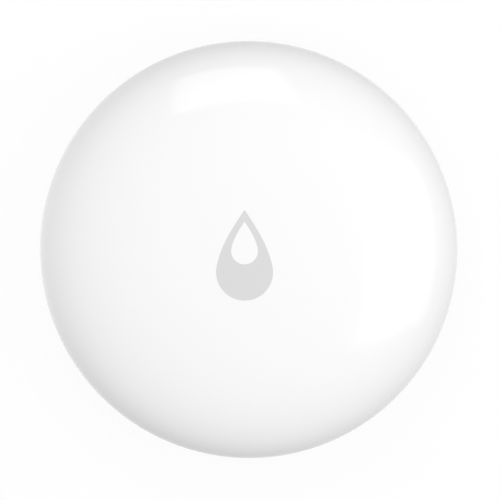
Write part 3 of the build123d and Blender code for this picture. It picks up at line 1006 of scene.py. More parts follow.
def sign_tree() -> GeometryTree:
    """Tree that fills flat outlines and lays them on the crown as a thin closed layer of ink.

    Returns:
        The tree, with inputs for the crown's sizes and the layer's place.
    """
    tree = GeometryTree("ink_on_crown")
    full_radius, top, waist, power, proud, depth = tree.inputs(*CROWN_INPUTS, "Ink Proud", "Ink Depth")
    curve = tree.add("GeometryNodeMeshToCurve", {0: tree.geometry})
    filled = tree.add("GeometryNodeFillCurve", {0: curve})
    fine = tree.add("GeometryNodeSubdivideMesh", {0: filled, "Level": 2})
    x, y, _ = tree.split(tree.position())
    rise = (1.0 - (tree.away(x, y) / full_radius) ** power) ** (1.0 / power)
    floor = tree.move(fine, tree.join(x, y, waist + (top - waist) * rise + proud - depth))
    up = {0: floor, "Offset": tree.join(0.0, 0.0, depth), "Offset Scale": 1.0, "Individual": False}
    under = tree.add("GeometryNodeFlipFaces", {0: floor})
    tree.close(tree.together(tree.add("GeometryNodeExtrudeMesh", up), under))
    return tree


@dataclass(frozen=True)
class ScrewForm:
    """Cross in a screw's head and thread on its shank."""

    cross_length: float
    cross_width: float
    cross_depth: float
    cross_level: float
    thread_low: float
    thread_high: float
    thread_pitch: float
    thread_core: float
    thread_depth: float

    def values(self) -> dict[str, float]:
        """The sizes as the screw tree's inputs."""
        return {name.replace("_", " ").title(): value * MM for name, value in asdict(self).items()}


@dataclass(frozen=True)
class Block:
    """Small component, or part of one, shaped as a block with rounded edges.

    Its size is length, width and height. Its foot is the gap that it leaves under itself, its edge the
    radius of its edges, and its spans are the steps across each of them.
    """

    name: str
    size: Point3
    foot: float
    edge: float
    finish: Finish
    slot: Slot | None = None
    replaces: tuple[str, ...] = ()
    spans: int = 1

    def values(self) -> dict[str, float]:
        """The sizes as the block tree's inputs."""
        sizes = zip(("Length", "Width", "Height", "Edge Radius"), (*self.size, self.edge))
        return {name: value * MM for name, value in sizes} | {"Edge Steps": self.spans}


class Workshop:
    """Trees and materials that the sub-assemblies share, each made once."""

    def __init__(self) -> None:
        """Makes the trees."""
        self.smoothing = smoothing_tree()
        self.revolve = revolve_tree()
        self.crown = crown_tree()
        self.copying = copies_tree()
        self.block = block_tree()
        self.strip = strip_tree()
        self.threading = screw_tree()
        self.sign = sign_tree()
        self.materials: dict[str, bpy.types.Material] = {}

    def surface(self, finish: Finish, crease: float = 30.0) -> dict[str, Source]:
        """The inputs that every tree has: the angle above which edges stay sharp, and the material.

        Args:
            finish: Finish of the surface; its material is made on first use.
            crease: The angle in degrees.

        Returns:
            The inputs by name.
        """
        if finish.name not in self.materials:
            self.materials[finish.name] = finish.build()
        return {"Crease Angle": math.radians(crease), "Material": self.materials[finish.name]}

    def dress(self, finish: Finish, *nodes: str) -> None:
        """Gives CAD nodes their finish and smooth curved faces.

        Args:
            finish: Finish of the nodes.
            *nodes: Names of the nodes.
        """
        values = self.surface(finish)
        for name in nodes:
            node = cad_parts[name]
            node.data.materials.clear()
            node.data.materials.append(values["Material"])
            self.smoothing.attach(node, values)
            LOG.info("%s dressed in %s", name, finish.name)

    def turn(
        self,
        name: str,
        profile: Sequence[Point2],
        finish: Finish,
        steps: int = 96,
        spots: Sequence[Spot] = (),
        knurl: Mapping[str, float] | None = None,
    ) -> bpy.types.Object:
        """Round piece from its half profile, or copies of it.

        Args:
            name: Name of the piece.
            profile: Radius and height of each corner.
            finish: Finish of the piece.
            steps: Steps round the axis.
            spots: Places of the copies; without them the piece stays on the Z axis.
            knurl: The tree's inputs for grooves, if the piece has them.

        Returns:
            The piece as a plain mesh.
        """
        values = {"Steps Around": steps} | dict(knurl or {}) | self.surface(finish)
        thing = self.revolve.bake(profile_object(name, profile), values)
        return self.copies(thing, spots, finish) if spots else thing

    def copies(self, thing: bpy.types.Object, spots: Sequence[Spot], finish: Finish) -> bpy.types.Object:
        """Turns a piece into copies of itself at the given places.

        Args:
            thing: The piece, built round the Z axis.
            spots: Place and turn of each copy.
            finish: Finish of the copies.

        Returns:
            The piece as one plain mesh.
        """
        places = places_object("places", spots)
        self.copying.bake(thing, {"Places": places} | self.surface(finish))
        bpy.data.objects.remove(places)
        return thing

    def fins(
        self, name: str, outline: Sequence[Point2], thickness: float, spots: Sequence[Spot], finish: Finish
    ) -> bpy.types.Object:
        """Equal upright plates, from the outline in X and Z of one that stands at the origin."""
        half = thickness / 2
        return self.copies(prism(name, [outline], -half, half, upright=True), spots, finish)

    def blocks(self, block: Block, spots: Sequence[Spot]) -> bpy.types.Object:
        """Equal blocks with rounded edges.

        Args:
            block: What each block is like.
            spots: Place and turn of each block, at the height that it stands on.

        Returns:
            The blocks as one plain mesh.
        """
        rise = block.foot + block.size[2] / 2
        places = places_object(block.name, [(x, y, z + rise, turn) for x, y, z, turn in spots])
        return self.block.bake(places, block.values() | self.surface(block.finish))

    def strips(
        self,
        name: str,
        lines: Iterable[Sequence[Point2]],
        level: float,
        width: float,
        finish: Finish,
        bend: float = 0.6,
        thickness: float = 0.03,
    ) -> bpy.types.Object:
        """Thin flat strips along lines at one level; a line that ends where it starts is closed."""
        sizes = {"Strip Width": width * MM, "Strip Thickness": thickness * MM, "Bend Radius": bend * MM}
        return self.strip.bake(lines_object(name, lines, level), sizes | self.surface(finish))

    def screws(
        self, name: str, profile: Sequence[Point2], form: ScrewForm, spots: Sequence[Spot], steps: int = 48
    ) -> bpy.types.Object:
        """Stainless screws with a crossed head and a thread.

        Args:
            name: Name of the piece.
            profile: Half profile of head and core.
            form: Cross and thread.
            spots: Place and turn of each screw.
            steps: Steps round the axis.

        Returns:
            The screws as one plain mesh.
        """
        places = places_object("places", spots)
        values = form.values() | {"Steps Around": steps, "Places": places} | self.surface(STAINLESS)
        screws = self.threading.bake(profile_object(name, profile), values)
        bpy.data.objects.remove(places)
        return screws


@dataclass
class TopShell:
    """Domed cover with its drop sign, its inner ribs and what holds the light guide and the board."""

    shop: Workshop
    outer: Crown = Crown(25.0, 15.0, 5.5, 2.9)
    inner: Crown = Crown(23.2, 13.5, 5.5, 2.9)
    parting: float = 2.6
    undercut: float = 2.6
    foot_height: float = 0.6
    edge: float = 0.12
    bore: float = 22.6
    bore_lead: float = 0.3
    step_height: float = 6.6
    groove: Pair = (7.0, 8.8)
    groove_wall: float = 0.9
    steps: int = 224
    rings: int = 56
    flank_spans: int = 12
    edge_spans: int = 5
    wall_spans: int = 30
    middle_spans: int = 6
    crease: float = 35.0
    ink_proud: float = 0.006
    ink_depth: float = 0.03
    root: float = 0.4
    lead: float = 0.15
    rib_count: int = 6
    rib_low: float = 12.5
    rib_reach: Pair = (9.7, 16.5)
    rib_thickness: float = 0.9
    rib_spans: int = 8
    sleeve: Pair = (5.6, 6.6)
    sleeve_low: float = 11.58
    claw_angles: tuple[float, ...] = (60.0, 180.0, 300.0)
    claw_levels: Pair = (11.85, 12.2)
    claw_width: float = 1.6
    claw_reach: float = 0.7
    hold_angles: tuple[float, ...] = (22.5, 157.5, 225.0, 315.0)
    hold_start: float = 20.2
    hold_low: float = 8.9
    hold_thickness: float = 1.2
    hold_spans: int = 10

    def skirt_profile(self) -> list[Point2]:
        """Half profile from the outer waist down, up the bore and along the inner crown to the axis.

        Returns:
            Radius and height of each corner.
        """
        waist, inner = self.outer.waist, self.inner
        drop = waist - self.foot_height
        flank_radius = (drop**2 + self.undercut**2) / (2 * self.undercut)
        low = self.parting + self.edge
        end = -math.degrees(math.asin((waist - low) / flank_radius))
        flank_centre = (self.outer.radius - flank_radius, waist)
        profile = arc_points(flank_centre, flank_radius, 0.0, end, self.flank_spans)
        rim = profile[-1][0] - self.edge
        profile += arc_points((rim, low), self.edge, end, -90.0, self.edge_spans)[1:]
        profile += [(self.bore + self.bore_lead, self.parting), (self.bore, self.parting + self.bore_lead)]
        step = inner.radius_at(self.step_height)
        profile += [(self.bore, self.step_height), (step, self.step_height)]
        near, far = self.groove
        profile += inner.points(inner.turn_at(step), inner.turn_at(far), self.wall_spans)[1:]
        roof = self.outer.height_at((near + far) / 2) - self.groove_wall
        profile += [(far, roof), (near, roof)]
        return profile + inner.points(inner.turn_at(near), 0.0, self.middle_spans)

    def crown_values(self) -> dict[str, float]:
        """Crown sizes as the trees' inputs, its top lowered to keep the ink inside the CAD model's box.

        Returns:
            The inputs by name.
        """
        crown = self.outer
        top = crown.top - 2 * self.ink_proud
        return dict(zip(CROWN_INPUTS, (crown.radius * MM, top * MM, crown.waist * MM, crown.power)))

    def build(self) -> None:
        """Builds the shell, its sign and what is inside it, and gives each its own copy of its mesh."""
        shell = profile_object("crown_shell", self.skirt_profile())
        values = self.crown_values() | {"Steps Around": self.steps, "Crown Rings": self.rings}
        self.shop.crown.bake(shell, values | self.shop.surface(WHITE_SHELL, self.crease))
        settle(shell, Body.HOUSING, ["top_shell"])
        sign = DropSign(self.shop, self).build()
        for piece in (shell, sign, *self.build_inside()):
            self.give(piece)

    def build_inside(self) -> list[bpy.types.Object]:
        """Builds the crown's ribs, the guide's sleeve with its claws, and the ribs that hold the board down.

        Returns:
            The four pieces.
        """
        shop, lead = self.shop, self.lead
        roof = replace(self.inner, radius=self.inner.radius + self.root, top=self.inner.top + self.root)
        near, far = self.rib_reach
        fin = [(near, self.rib_low), (far, self.rib_low), *roof.ridge(far, near, self.rib_spans)]
        rib_spots = round_spots(0.0, even_angles(self.rib_count))
        ribs = shop.fins("crown_ribs", fin, self.rib_thickness, rib_spots, WHITE_SHELL)
        inner, outer = self.sleeve
        foot = self.sleeve_low
        mouth = [(inner, foot + lead), (inner + lead, foot), (outer - lead, foot), (outer, foot + lead)]
        section = closed([*mouth, (outer, roof.height_at(outer)), (inner, roof.height_at(inner))])
        sleeve = shop.turn("guide_sleeve", section, WHITE_SHELL)
        low, high = self.claw_levels
        tip, back = inner - self.claw_reach, inner + self.root
        hook = [(tip, high), (tip, high - lead), (tip + 2 * lead, low), (back, low), (back, high)]
        claw_spots = round_spots(0.0, self.claw_angles)
        claws = shop.fins("guide_claws", hook, self.claw_width, claw_spots, WHITE_SHELL)
        start, foot = self.hold_start, self.hold_low
        fin = [(start, foot), *roof.ridge(roof.radius_at(foot), start, self.hold_spans)]
        hold_spots = round_spots(0.0, self.hold_angles)
        holds = shop.fins("board_hold_ribs", fin, self.hold_thickness, hold_spots, WHITE_SHELL)
        return [settle(piece, Body.HOUSING) for piece in (ribs, sleeve, claws, holds)]

    def give(self, piece: bpy.types.Object) -> None:
        """Gives a piece of the crown its own copy of its mesh."""
        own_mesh(piece)


@dataclass
class DropSign:
    """Water-drop sign: a drop with a smaller drop left open in it, each a circle drawn out to a tip."""

    shop: Workshop
    shell: TopShell
    tip_height: float = 5.28
    circle_radius: float = 3.305
    tip_distance: float = 7.25
    tip_half_angle: float = 33.0
    join_angle: float = 12.0
    side_pull: float = 0.36
    inner_share: float = 0.47
    inner_drop: float = 1.38
    side_spans: int = 22
    round_spans: int = 40

    def outline(self, share: float, tip: float) -> list[Point2]:
        """Closed outline of one drop, from its tip round to the tip again.

        Args:
            share: Size as a share of the outer drop.
            tip: Place of its tip along the Y axis.

        Returns:
            X and Y of each corner.
        """
        radius = self.circle_radius * share
        middle = tip - self.tip_distance * share
        join = self.join_angle
        circle = arc_points((0.0, middle), radius, join, -180.0 - join, self.round_spans)
        start, end = Vector((0.0, tip)), Vector(circle[0])
        pull = (start - end).length * self.side_pull
        near = start + Vector(around(pull, self.tip_half_angle - 90.0))
        far = end + Vector(around(pull, join + 90.0))
        side = []
        for k in range(self.side_spans):
            done = k / self.side_spans
            rest = 1 - done
            point = rest**3 * start + done**3 * end + 3 * done * rest * (rest * near + done * far)
            side.append((point.x, point.y))
        return closed(side + circle + [(-x, y) for x, y in reversed(side[1:])])

    def build(self) -> bpy.types.Object:
        """Builds the sign.

        Returns:
            The sign, riding on the housing.
        """
        tips = ((1.0, self.tip_height), (self.inner_share, self.tip_height - self.inner_drop))
        sign = lines_object("drop_sign", [self.outline(share, tip) for share, tip in tips], 0.0)
        ink = {"Ink Proud": self.shell.ink_proud * MM, "Ink Depth": self.shell.ink_depth * MM}
        self.shop.sign.bake(sign, self.shell.crown_values() | ink | self.shop.surface(GREY_INK))
        return settle(sign, Body.HOUSING)


@dataclass
class Housing:
    """Base shell with its seal, the battery's holder and contacts, and the marks for the cover."""

    shop: Workshop
    seal: Section = Section(21.58, 22.57, 3.13, 4.17)
    seal_steps: int = 160
    floor_level: float = 0.6
    mark_circle: float = 17.2
    closed_angle: float = 120.0
    open_angle: float = 20.0
    mark_rise: float = 0.18
    dot_radius: float = 0.75
    dot_edge: float = 0.06
    ring_radii: Pair = (0.51, 0.79)
    mark_steps: int = 32

    def build(self) -> None:
        """Dresses the base, the holder and the contacts, and builds the seal and the marks."""
        shop = self.shop
        shop.dress(WHITE_BASE, "base_shell")
        shop.dress(BLACK_PLASTIC, "battery_holder")
        shop.dress(SHEET_STEEL, "negative_contact", "positive_contact")
        seal = shop.turn("housing_seal_ring", self.seal.soft(), SOFT_SILICONE, self.seal_steps)
        settle(seal, Body.HOUSING, ["housing_seal"])
        low, high = self.floor_level - self.mark_rise, self.floor_level + self.mark_rise
        radius, edge = self.dot_radius, self.dot_edge
        dot = [(0.0, low), (radius - edge, low), (radius, low + edge), (radius, high), (0.0, high)]
        ring = Section(*self.ring_radii, low, high).soft()
        closed_spots = flat_spots([around(self.mark_circle, self.closed_angle)])
        open_spots = round_spots(self.mark_circle, [self.open_angle])
        for name, profile, spots in (("closed_mark", dot, closed_spots), ("open_mark", ring, open_spots)):
            mark = shop.turn(name, profile, WHITE_BASE, self.mark_steps, spots)
            settle(mark, Body.HOUSING)


@dataclass
class Probes:
    """The two stainless screws that touch the water, with their seals, knurled inserts and solder."""

    shop: Workshop
    head_radius: float = 2.2
    head_rise: float = 0.55
    head_low: float = 0.1
    head_spans: int = 8
    shank: Points = (
        (2.2, 1.1), (1.25, 1.1), (1.25, 2.1), (1.0, 2.3), (1.0, 6.75), (0.75, 7.0), (0.0, 7.0)
    )
    form: ScrewForm = ScrewForm(
        cross_length=2.4, cross_width=0.5, cross_depth=0.55, cross_level=0.1,
        thread_low=2.4, thread_high=6.6, thread_pitch=0.45, thread_core=1.01, thread_depth=0.24,
    )
    seal: Section = Section(1.28, 1.95, 1.13, 1.82)
    ring_steps: int = 48
    insert: Points = (
        (0.0, 7.3), (1.27, 7.3), (1.27, 3.0), (1.8, 3.0), (1.8, 3.3), (2.0, 3.4), (2.0, 5.0), (1.8, 5.1),
        (1.8, 5.6), (2.0, 5.7), (2.0, 7.4), (1.8, 7.5), (1.8, 8.0), (1.1, 8.0), (1.1, 8.95), (1.05, 9.0),
        (0.0, 9.0),
    )
    insert_steps: int = 192
    knurl_count: int = 32
    knurl_depth: float = 0.14
    knurl_start: float = 1.9
    solder: Points = ((1.1, 0.0), (1.85, 0.0), (1.5, 0.04), (1.25, 0.12), (1.1, 0.2))

    def build(self) -> None:
        """Builds the screws, then their seals, inserts and solder on both sides."""
        shop, steps = self.shop, self.ring_steps
        head = cap_points(self.head_radius, self.head_rise, self.head_low, self.head_spans, side=-1)
        for side, angle in (("right", 0.0), ("left", 180.0)):
            spots = round_spots(PROBE_CIRCLE, [angle])
            screw = shop.screws(f"probe_screw_{side}_threaded", [*head, *self.shank], self.form, spots)
            settle(screw, Body.HOUSING, [f"probe_screw_{side}"])
        both = round_spots(PROBE_CIRCLE, even_angles(2))
        seals = shop.turn("probe_seal_rings", self.seal.soft(), SOFT_SILICONE, steps, both)
        settle(seals, Body.HOUSING, ["probe_seals"])
        knurl = {
            "Knurl Count": float(self.knurl_count),
            "Knurl Depth": self.knurl_depth * MM,
            "Knurl Radius": self.knurl_start * MM,
        }
        inserts = shop.turn("knurled_inserts", self.insert, TURNED_BRASS, self.insert_steps, both, knurl)
        settle(inserts, Body.HOUSING, ["probe_inserts"])
        cone = closed([(radius, BOARD_TOP + rise) for radius, rise in self.solder])
        settle(shop.turn("insert_solder", cone, TINNED, steps, both), Body.HOUSING)


@dataclass
class BatteryCover:
    """Coin-turned cover with its seal, its mark and the arrows that show which way it opens."""

    shop: Workshop
    seal: Section = Section(14.38, 15.22, 1.48, 2.17)
    seal_steps: int = 144
    low: float = 0.75
    mark_rise: float = 0.18
    mark_radius: float = 0.75
    mark_circle: float = 13.6
    mark_angle: float = 120.0
    arrow_circle: float = 10.8
    arrow_angles: Pair = (122.0, 82.0)
    arrow_width: float = 0.8
    arrow_wing: float = 1.2
    arrow_head: float = 9.0
    arrow_spans: int = 10

    def build(self) -> None:
        """Dresses the cover and builds its seal and marks."""
        shop = self.shop
        shop.dress(WHITE_BASE, "battery_cover")
        seal = shop.turn("cover_seal_ring", self.seal.soft(), SOFT_SILICONE, self.seal_steps)
        settle(seal, Body.COVER_CARRIER, ["cover_seal"])
        dot = disc_outline(around(self.mark_circle, self.mark_angle), self.mark_radius)
        outlines = [dot, *(self.arrow(turn) for turn in even_angles(2))]
        marks = prism("cover_marks", outlines, self.low - self.mark_rise, self.low + self.mark_rise)
        settle(shop.copies(marks, flat_spots([(0.0, 0.0)]), WHITE_BASE), Body.COVER)

    def arrow(self, turn: float) -> list[Point2]:
        """Outline of a curved arrow that points the way the cover turns to open.

        Args:
            turn: Angle that it is turned by.

        Returns:
            X and Y of each corner.
        """
        start, end = (angle + turn for angle in self.arrow_angles)
        circle, half, spans = self.arrow_circle, self.arrow_width / 2, self.arrow_spans
        middle = (0.0, 0.0)
        outer = arc_points(middle, circle + half, start, end, spans)
        inner = arc_points(middle, circle - half, end, start, spans)
        outer_wing, inner_wing = (around(circle + side * self.arrow_wing, end) for side in (1, -1))
        return [*outer, outer_wing, around(circle, end - self.arrow_head), inner_wing, *inner]


@dataclass
class CoinCell:
    """Coin cell: crimped can, cap and the grommet between them."""

    shop: Workshop
    radius: float = 10.0
    low: float = 3.6
    bend: float = 0.5
    can_top: float = 6.6
    crimp: float = 0.6
    crimp_lip: Points = ((9.15, 6.58), (8.95, 6.45))
    inside: float = 6.1
    top: float = 6.8
    cap_radius: float = 8.7
    cap_bend: float = 0.35
    cap_dish: Points = ((0.0, 6.76), (7.5, 6.76), (7.65, 6.8))
    grommet: Points = ((8.93, 6.64), (8.88, 6.7), (8.77, 6.7), (8.72, 6.64))
    steps: int = 128
    bend_spans: int = 6
    crimp_spans: int = 7
    plus_reach: float = 2.0
    plus_half: float = 0.4
    plus_place: Point2 = (0.0, 4.6)
    plus_levels: Pair = (-0.02, 0.1)

    def build(self) -> None:
        """Builds the three pieces and the plus sign on the can."""
        inside, bend, crimp = self.inside, self.bend, self.crimp
        foot = arc_points((self.radius - bend, self.low + bend), bend, -90.0, 0.0, self.bend_spans)
        rim = arc_points((self.radius - crimp, self.can_top - crimp), crimp, 0.0, 90.0, self.crimp_spans)
        lip = [*self.crimp_lip, (self.crimp_lip[-1][0], inside)]
        centre = (self.cap_radius - self.cap_bend, self.top - self.cap_bend)
        edge = arc_points(centre, self.cap_bend, 90.0, 0.0, self.bend_spans)
        inner, outer = self.grommet[-1][0], self.grommet[0][0]
        pieces = (
            ("can", [(0.0, self.low), *foot, *rim, *lip, (0.0, inside)], CELL_STEEL, Slot.CELL),
            ("cap", [*self.cap_dish, *edge, (self.cap_radius, inside), (0.0, inside)], CELL_STEEL, Slot.CELL),
            ("grommet", closed([(inner, inside), (outer, inside), *self.grommet]), BLACK_PLASTIC, Slot.DARK),
        )
        for name, profile, finish, slot in pieces:
            piece = self.shop.turn(f"cell_{name}", profile, finish, self.steps)
            settle(piece, Body.CELL, [f"battery_{name}"])
        low, high = (self.low + level for level in self.plus_levels)
        sign = prism("cell_plus_sign", [self.plus_outline()], low, high)
        settle(self.shop.copies(sign, flat_spots([self.plus_place]), CELL_STEEL), Body.CELL)

    def plus_outline(self) -> list[Point2]:
        """Outline of a plus sign, a quarter at a time.

        Returns:
            X and Y of each corner.
        """
        reach, half = self.plus_reach, self.plus_half
        quarter = [(reach, half), (half, half), (half, reach)]
        outline: list[Point2] = []
        for _ in range(4):
            outline += quarter
            quarter = [(-y, x) for x, y in quarter]
        return outline


@dataclass
class Board:
    """Circuit board with its tracks, print and components."""

    shop: Workshop
    chip: Point2 = (-8.904, 4.24)
    crystal: Point2 = (-8.904, -2.544)
    lamp: Point2 = (4.2, 0.0)
    capacitors: Points = (
        (-4.24, 4.664), (-4.24, 2.544), (-4.24, -3.392), (-8.904, 8.904), (-13.992, 1.272), (8.48, -5.512),
        (8.48, -7.632),
    )
    resistors: Points = ((7.632, 3.392), (7.632, 5.512), (0.424, -6.36), (3.392, -6.36), (-2.968, 10.6))
    chip_body: Block = Block(
        "radio_chip_package", (6.0, 6.0, 0.8), 0.05, 0.06, BLACK_PLASTIC, Slot.DARK, ("radio_chip",)
    )
    chip_pad: Block = Block("radio_chip_pads", (0.7, 0.3, 0.12), 0.0, 0.03, TINNED)
    pads_a_side: int = 8
    pad_pitch: float = 0.62
    chip_dot: Section = Section(0.0, 0.3, 0.8, 0.86)
    dot_inset: float = 2.2
    dot_steps: int = 20
    crystal_base: Block = Block("crystal_base", (3.2, 2.5, 0.36), 0.0, 0.05, WHITE_CERAMIC)
    crystal_lid: Block = Block(
        "crystal_lid", (2.9, 2.2, 0.4), 0.3, 0.12, SHEET_STEEL, Slot.STEEL, ("crystal",), 2
    )
    lamp_seat: Block = Block("lamp_seat", (1.6, 1.6, 0.3), 0.0, 0.04, WHITE_CERAMIC)
    lamp_lens: Block = Block(
        "lamp_lens", (1.4, 1.4, 0.56), 0.14, 0.2, LAMP_EPOXY, Slot.LAMP, ("indicator_led",), 3
    )
    capacitor_body: Block = Block(
        "capacitor_bodies", (1.1, 0.78, 0.56), 0.02, 0.04, TAN_CERAMIC, Slot.CERAMIC, ("capacitors",)
    )
    capacitor_end: Block = Block("capacitor_ends", (0.34, 0.8, 0.59), 0.005, 0.06, TINNED)
    resistor_body: Block = Block(
        "resistor_bodies", (1.2, 0.78, 0.44), 0.02, 0.04, BLACK_PLASTIC, Slot.DARK, ("resistors",)
    )
    resistor_end: Block = Block("resistor_ends", (0.34, 0.8, 0.47), 0.005, 0.06, TINNED)
    end_spread: float = 0.62
    screw_circle: float = 18.6
    screw_angles: tuple[float, ...] = (45.0, 135.0, 270.0)
    screw_tip: Points = ((0.0, 4.4), (0.2, 4.4), (0.48, 5.0), (0.5, 8.5), (0.66, 8.8), (1.5, 8.8))
    head_centre: Point2 = (1.15, 9.4)
    head_edge: float = 0.35
    head_turn: float = 80.0
    head_spans: int = 5
    head_face: Points = ((0.7, 9.78), (0.0, 9.8))
    screw_form: ScrewForm = ScrewForm(
        cross_length=1.8, cross_width=0.45, cross_depth=0.55, cross_level=9.8,
        thread_low=4.8, thread_high=8.0, thread_pitch=0.5, thread_core=0.48, thread_depth=0.18,
    )
    track_width: float = 0.32
    tracks: tuple[Points, ...] = (
        ((-9.5, 1.2), (-9.5, -1.3)),
        ((-8.3, 1.2), (-8.3, -1.3)),
        ((-17.2, 0.0), (-15.2, 0.0), (-14.7, 0.9)),
        ((-13.2, 1.27), (-12.6, 1.9), (-12.1, 1.9)),
        ((-7.4, 7.4), (-7.4, 12.6), (-5.0, 15.0), (-4.2, 15.7)),
        ((-5.7, 5.4), (-5.0, 4.8)),
        ((-5.7, 3.2), (-5.0, 2.7)),
        ((-5.7, 4.2), (-4.2, 3.6), (-2.9, 2.2), (-2.7, 1.8)),
        ((-3.5, 4.66), (-1.2, 4.66), (1.0, 6.8), (5.6, 6.8), (6.9, 5.6)),
        ((-3.5, 2.54), (-2.8, 2.2)),
        ((17.2, 0.0), (12.4, 0.0), (9.6, 2.8), (8.4, 3.39)),
        ((6.9, 3.39), (5.8, 2.3), (5.2, 0.8)),
        ((8.4, 5.51), (10.6, 5.51), (12.6, 3.4), (12.6, 1.2), (14.8, 0.0)),
        ((2.8, -1.8), (5.4, -3.4), (7.7, -5.5)),
        ((9.3, -5.51), (11.0, -7.0), (9.3, -7.63)),
        ((1.2, -6.36), (2.6, -6.36)),
        ((4.2, -6.36), (5.6, -7.63), (7.7, -7.63)),
        ((-0.4, -6.36), (-2.2, -4.6), (-3.4, -3.4)),
        ((-5.0, -3.39), (-7.2, -2.6)),
        ((-9.7, 8.9), (-11.4, 8.9), (-11.4, 7.4)),
        ((-3.8, 10.6), (-6.2, 10.6), (-6.2, 7.4)),
        ((-2.2, 10.6), (3.0, 10.6), (6.8, 6.8), (7.2, 5.9)),
        ((-12.0, 5.4), (-14.6, 5.4), (-15.9, 4.0), (-15.9, 1.6), (-14.8, 1.27)),
    )
    vias: Points = (
        (-3.0, 6.2), (-0.6, 8.4), (2.2, 8.4), (10.8, 8.2), (13.4, 6.0), (15.6, -4.2), (12.4, -9.4),
        (5.2, -10.4), (-2.6, -9.2), (-6.8, -7.2), (-12.4, -6.0), (-15.4, -3.4), (-13.0, 8.6), (-10.8, 12.0),
        (9.8, -1.8), (-5.6, -5.6),
    )
    via: Section = Section(0.16, 0.34, -0.05, 0.015)
    via_steps: int = 14
    test_pads: Points = ((-9.0, -11.0), (-6.0, -12.0), (-3.0, -12.6), (0.0, -12.8), (3.0, -12.6))
    test_pad: Section = Section(0.0, 0.75, -0.05, 0.02)
    pad_steps: int = 24
    print_width: float = 0.13
    print_bend: float = 0.1
    chip_frame: Pair = (7.4, 7.4)
    switch_frame: Pair = (5.7, 5.7)
    crystal_frame: Pair = (3.9, 3.2)
    small_frame: Pair = (2.5, 1.4)
    probe_ring: float = 2.3

    def build(self) -> None:
        """Dresses the board and builds its tracks, print, screws and components."""
        self.shop.dress(GREEN_MASK, "circuit_board")
        self.shop.dress(MASKED_COPPER, "antenna_track")
        self.build_copper()
        self.build_print()
        self.build_screws()
        self.build_packages()
        self.build_passives()

    def build_copper(self) -> None:
        """Builds the tracks, the vias and the test pads."""
        shop = self.shop
        tracks = shop.strips("board_tracks", self.tracks, BOARD_TOP, self.track_width, MASKED_COPPER)
        via_spots, pad_spots = (flat_spots(places, BOARD_TOP) for places in (self.vias, self.test_pads))
        vias = shop.turn("board_vias", self.via.square(), MASKED_COPPER, self.via_steps, via_spots)
        pads = shop.turn("board_test_pads", self.test_pad.disc(), GOLD_PAD, self.pad_steps, pad_spots)
        for piece in (tracks, vias, pads):
            settle(piece, Body.HOUSING)

    def build_print(self) -> None:
        """Builds the white print: frames round the components and rings round the probes."""
        frames = [
            (self.chip, self.chip_frame),
            ((0.0, 0.0), self.switch_frame),
            (self.crystal, self.crystal_frame),
        ]
        frames += [(place, self.small_frame) for place in (*self.capacitors, *self.resistors)]
        lines = [rectangle(place, size) for place, size in frames]
        lines += [closed(disc_outline(centre, self.probe_ring)) for centre in PROBE_CENTRES]
        ink = self.shop.strips("board_print", lines, BOARD_TOP, self.print_width, SILK_INK, self.print_bend)
        settle(ink, Body.HOUSING)

    def build_screws(self) -> None:
        """Builds the three pan-head screws that hold the board."""
        edge = arc_points(self.head_centre, self.head_edge, 0.0, self.head_turn, self.head_spans)
        profile = [*self.screw_tip, *edge, *self.head_face]
        spots = round_spots(self.screw_circle, self.screw_angles)
        screws = self.shop.screws("board_screws_threaded", profile, self.screw_form, spots)
        settle(screws, Body.HOUSING, ["board_screws"])

    def fit(self, block: Block, spots: Sequence[Spot]) -> None:
        """Builds blocks at their places on the board."""
        settle(self.shop.blocks(block, spots), Body.HOUSING, block.replaces)

    def build_packages(self) -> None:
        """Builds the radio chip with its pads and its dot, the crystal and the indicator lamp."""
        self.fit(self.chip_body, flat_spots([self.chip], BOARD_TOP))
        self.fit(self.chip_pad, self.chip_pad_spots())
        corner = (self.chip[0] - self.dot_inset, self.chip[1] + self.dot_inset)
        spots = flat_spots([corner], BOARD_TOP)
        dot = self.shop.turn("radio_chip_dot", self.chip_dot.disc(), SILK_INK, self.dot_steps, spots)
        settle(dot, Body.HOUSING)
        for place, *blocks in (
            (self.crystal, self.crystal_base, self.crystal_lid),
            (self.lamp, self.lamp_seat, self.lamp_lens),
        ):
            for block in blocks:
                self.fit(block, flat_spots([place], BOARD_TOP))

    def chip_pad_spots(self) -> list[Spot]:
        """Places of the chip's pads, a row on each side.

        Returns:
            Place and turn of each pad.
        """
        spots = []
        reach = self.chip_body.size[0] / 2
        for turn in even_angles(4):
            across, up = around(1.0, turn)
            for k in range(self.pads_a_side):
                along = (k - (self.pads_a_side - 1) / 2) * self.pad_pitch
                x = self.chip[0] + across * reach - up * along
                y = self.chip[1] + up * reach + across * along
                spots.append((x, y, BOARD_TOP, turn))
        return spots

    def build_passives(self) -> None:
        """Builds the capacitors and resistors with their tinned ends."""
        for places, body, end in (
            (self.capacitors, self.capacitor_body, self.capacitor_end),
            (self.resistors, self.resistor_body, self.resistor_end),
        ):
            self.fit(body, flat_spots(places, BOARD_TOP))
            spread = self.end_spread
            self.fit(end, flat_spots(places, BOARD_TOP, spread) + flat_spots(places, BOARD_TOP, -spread))


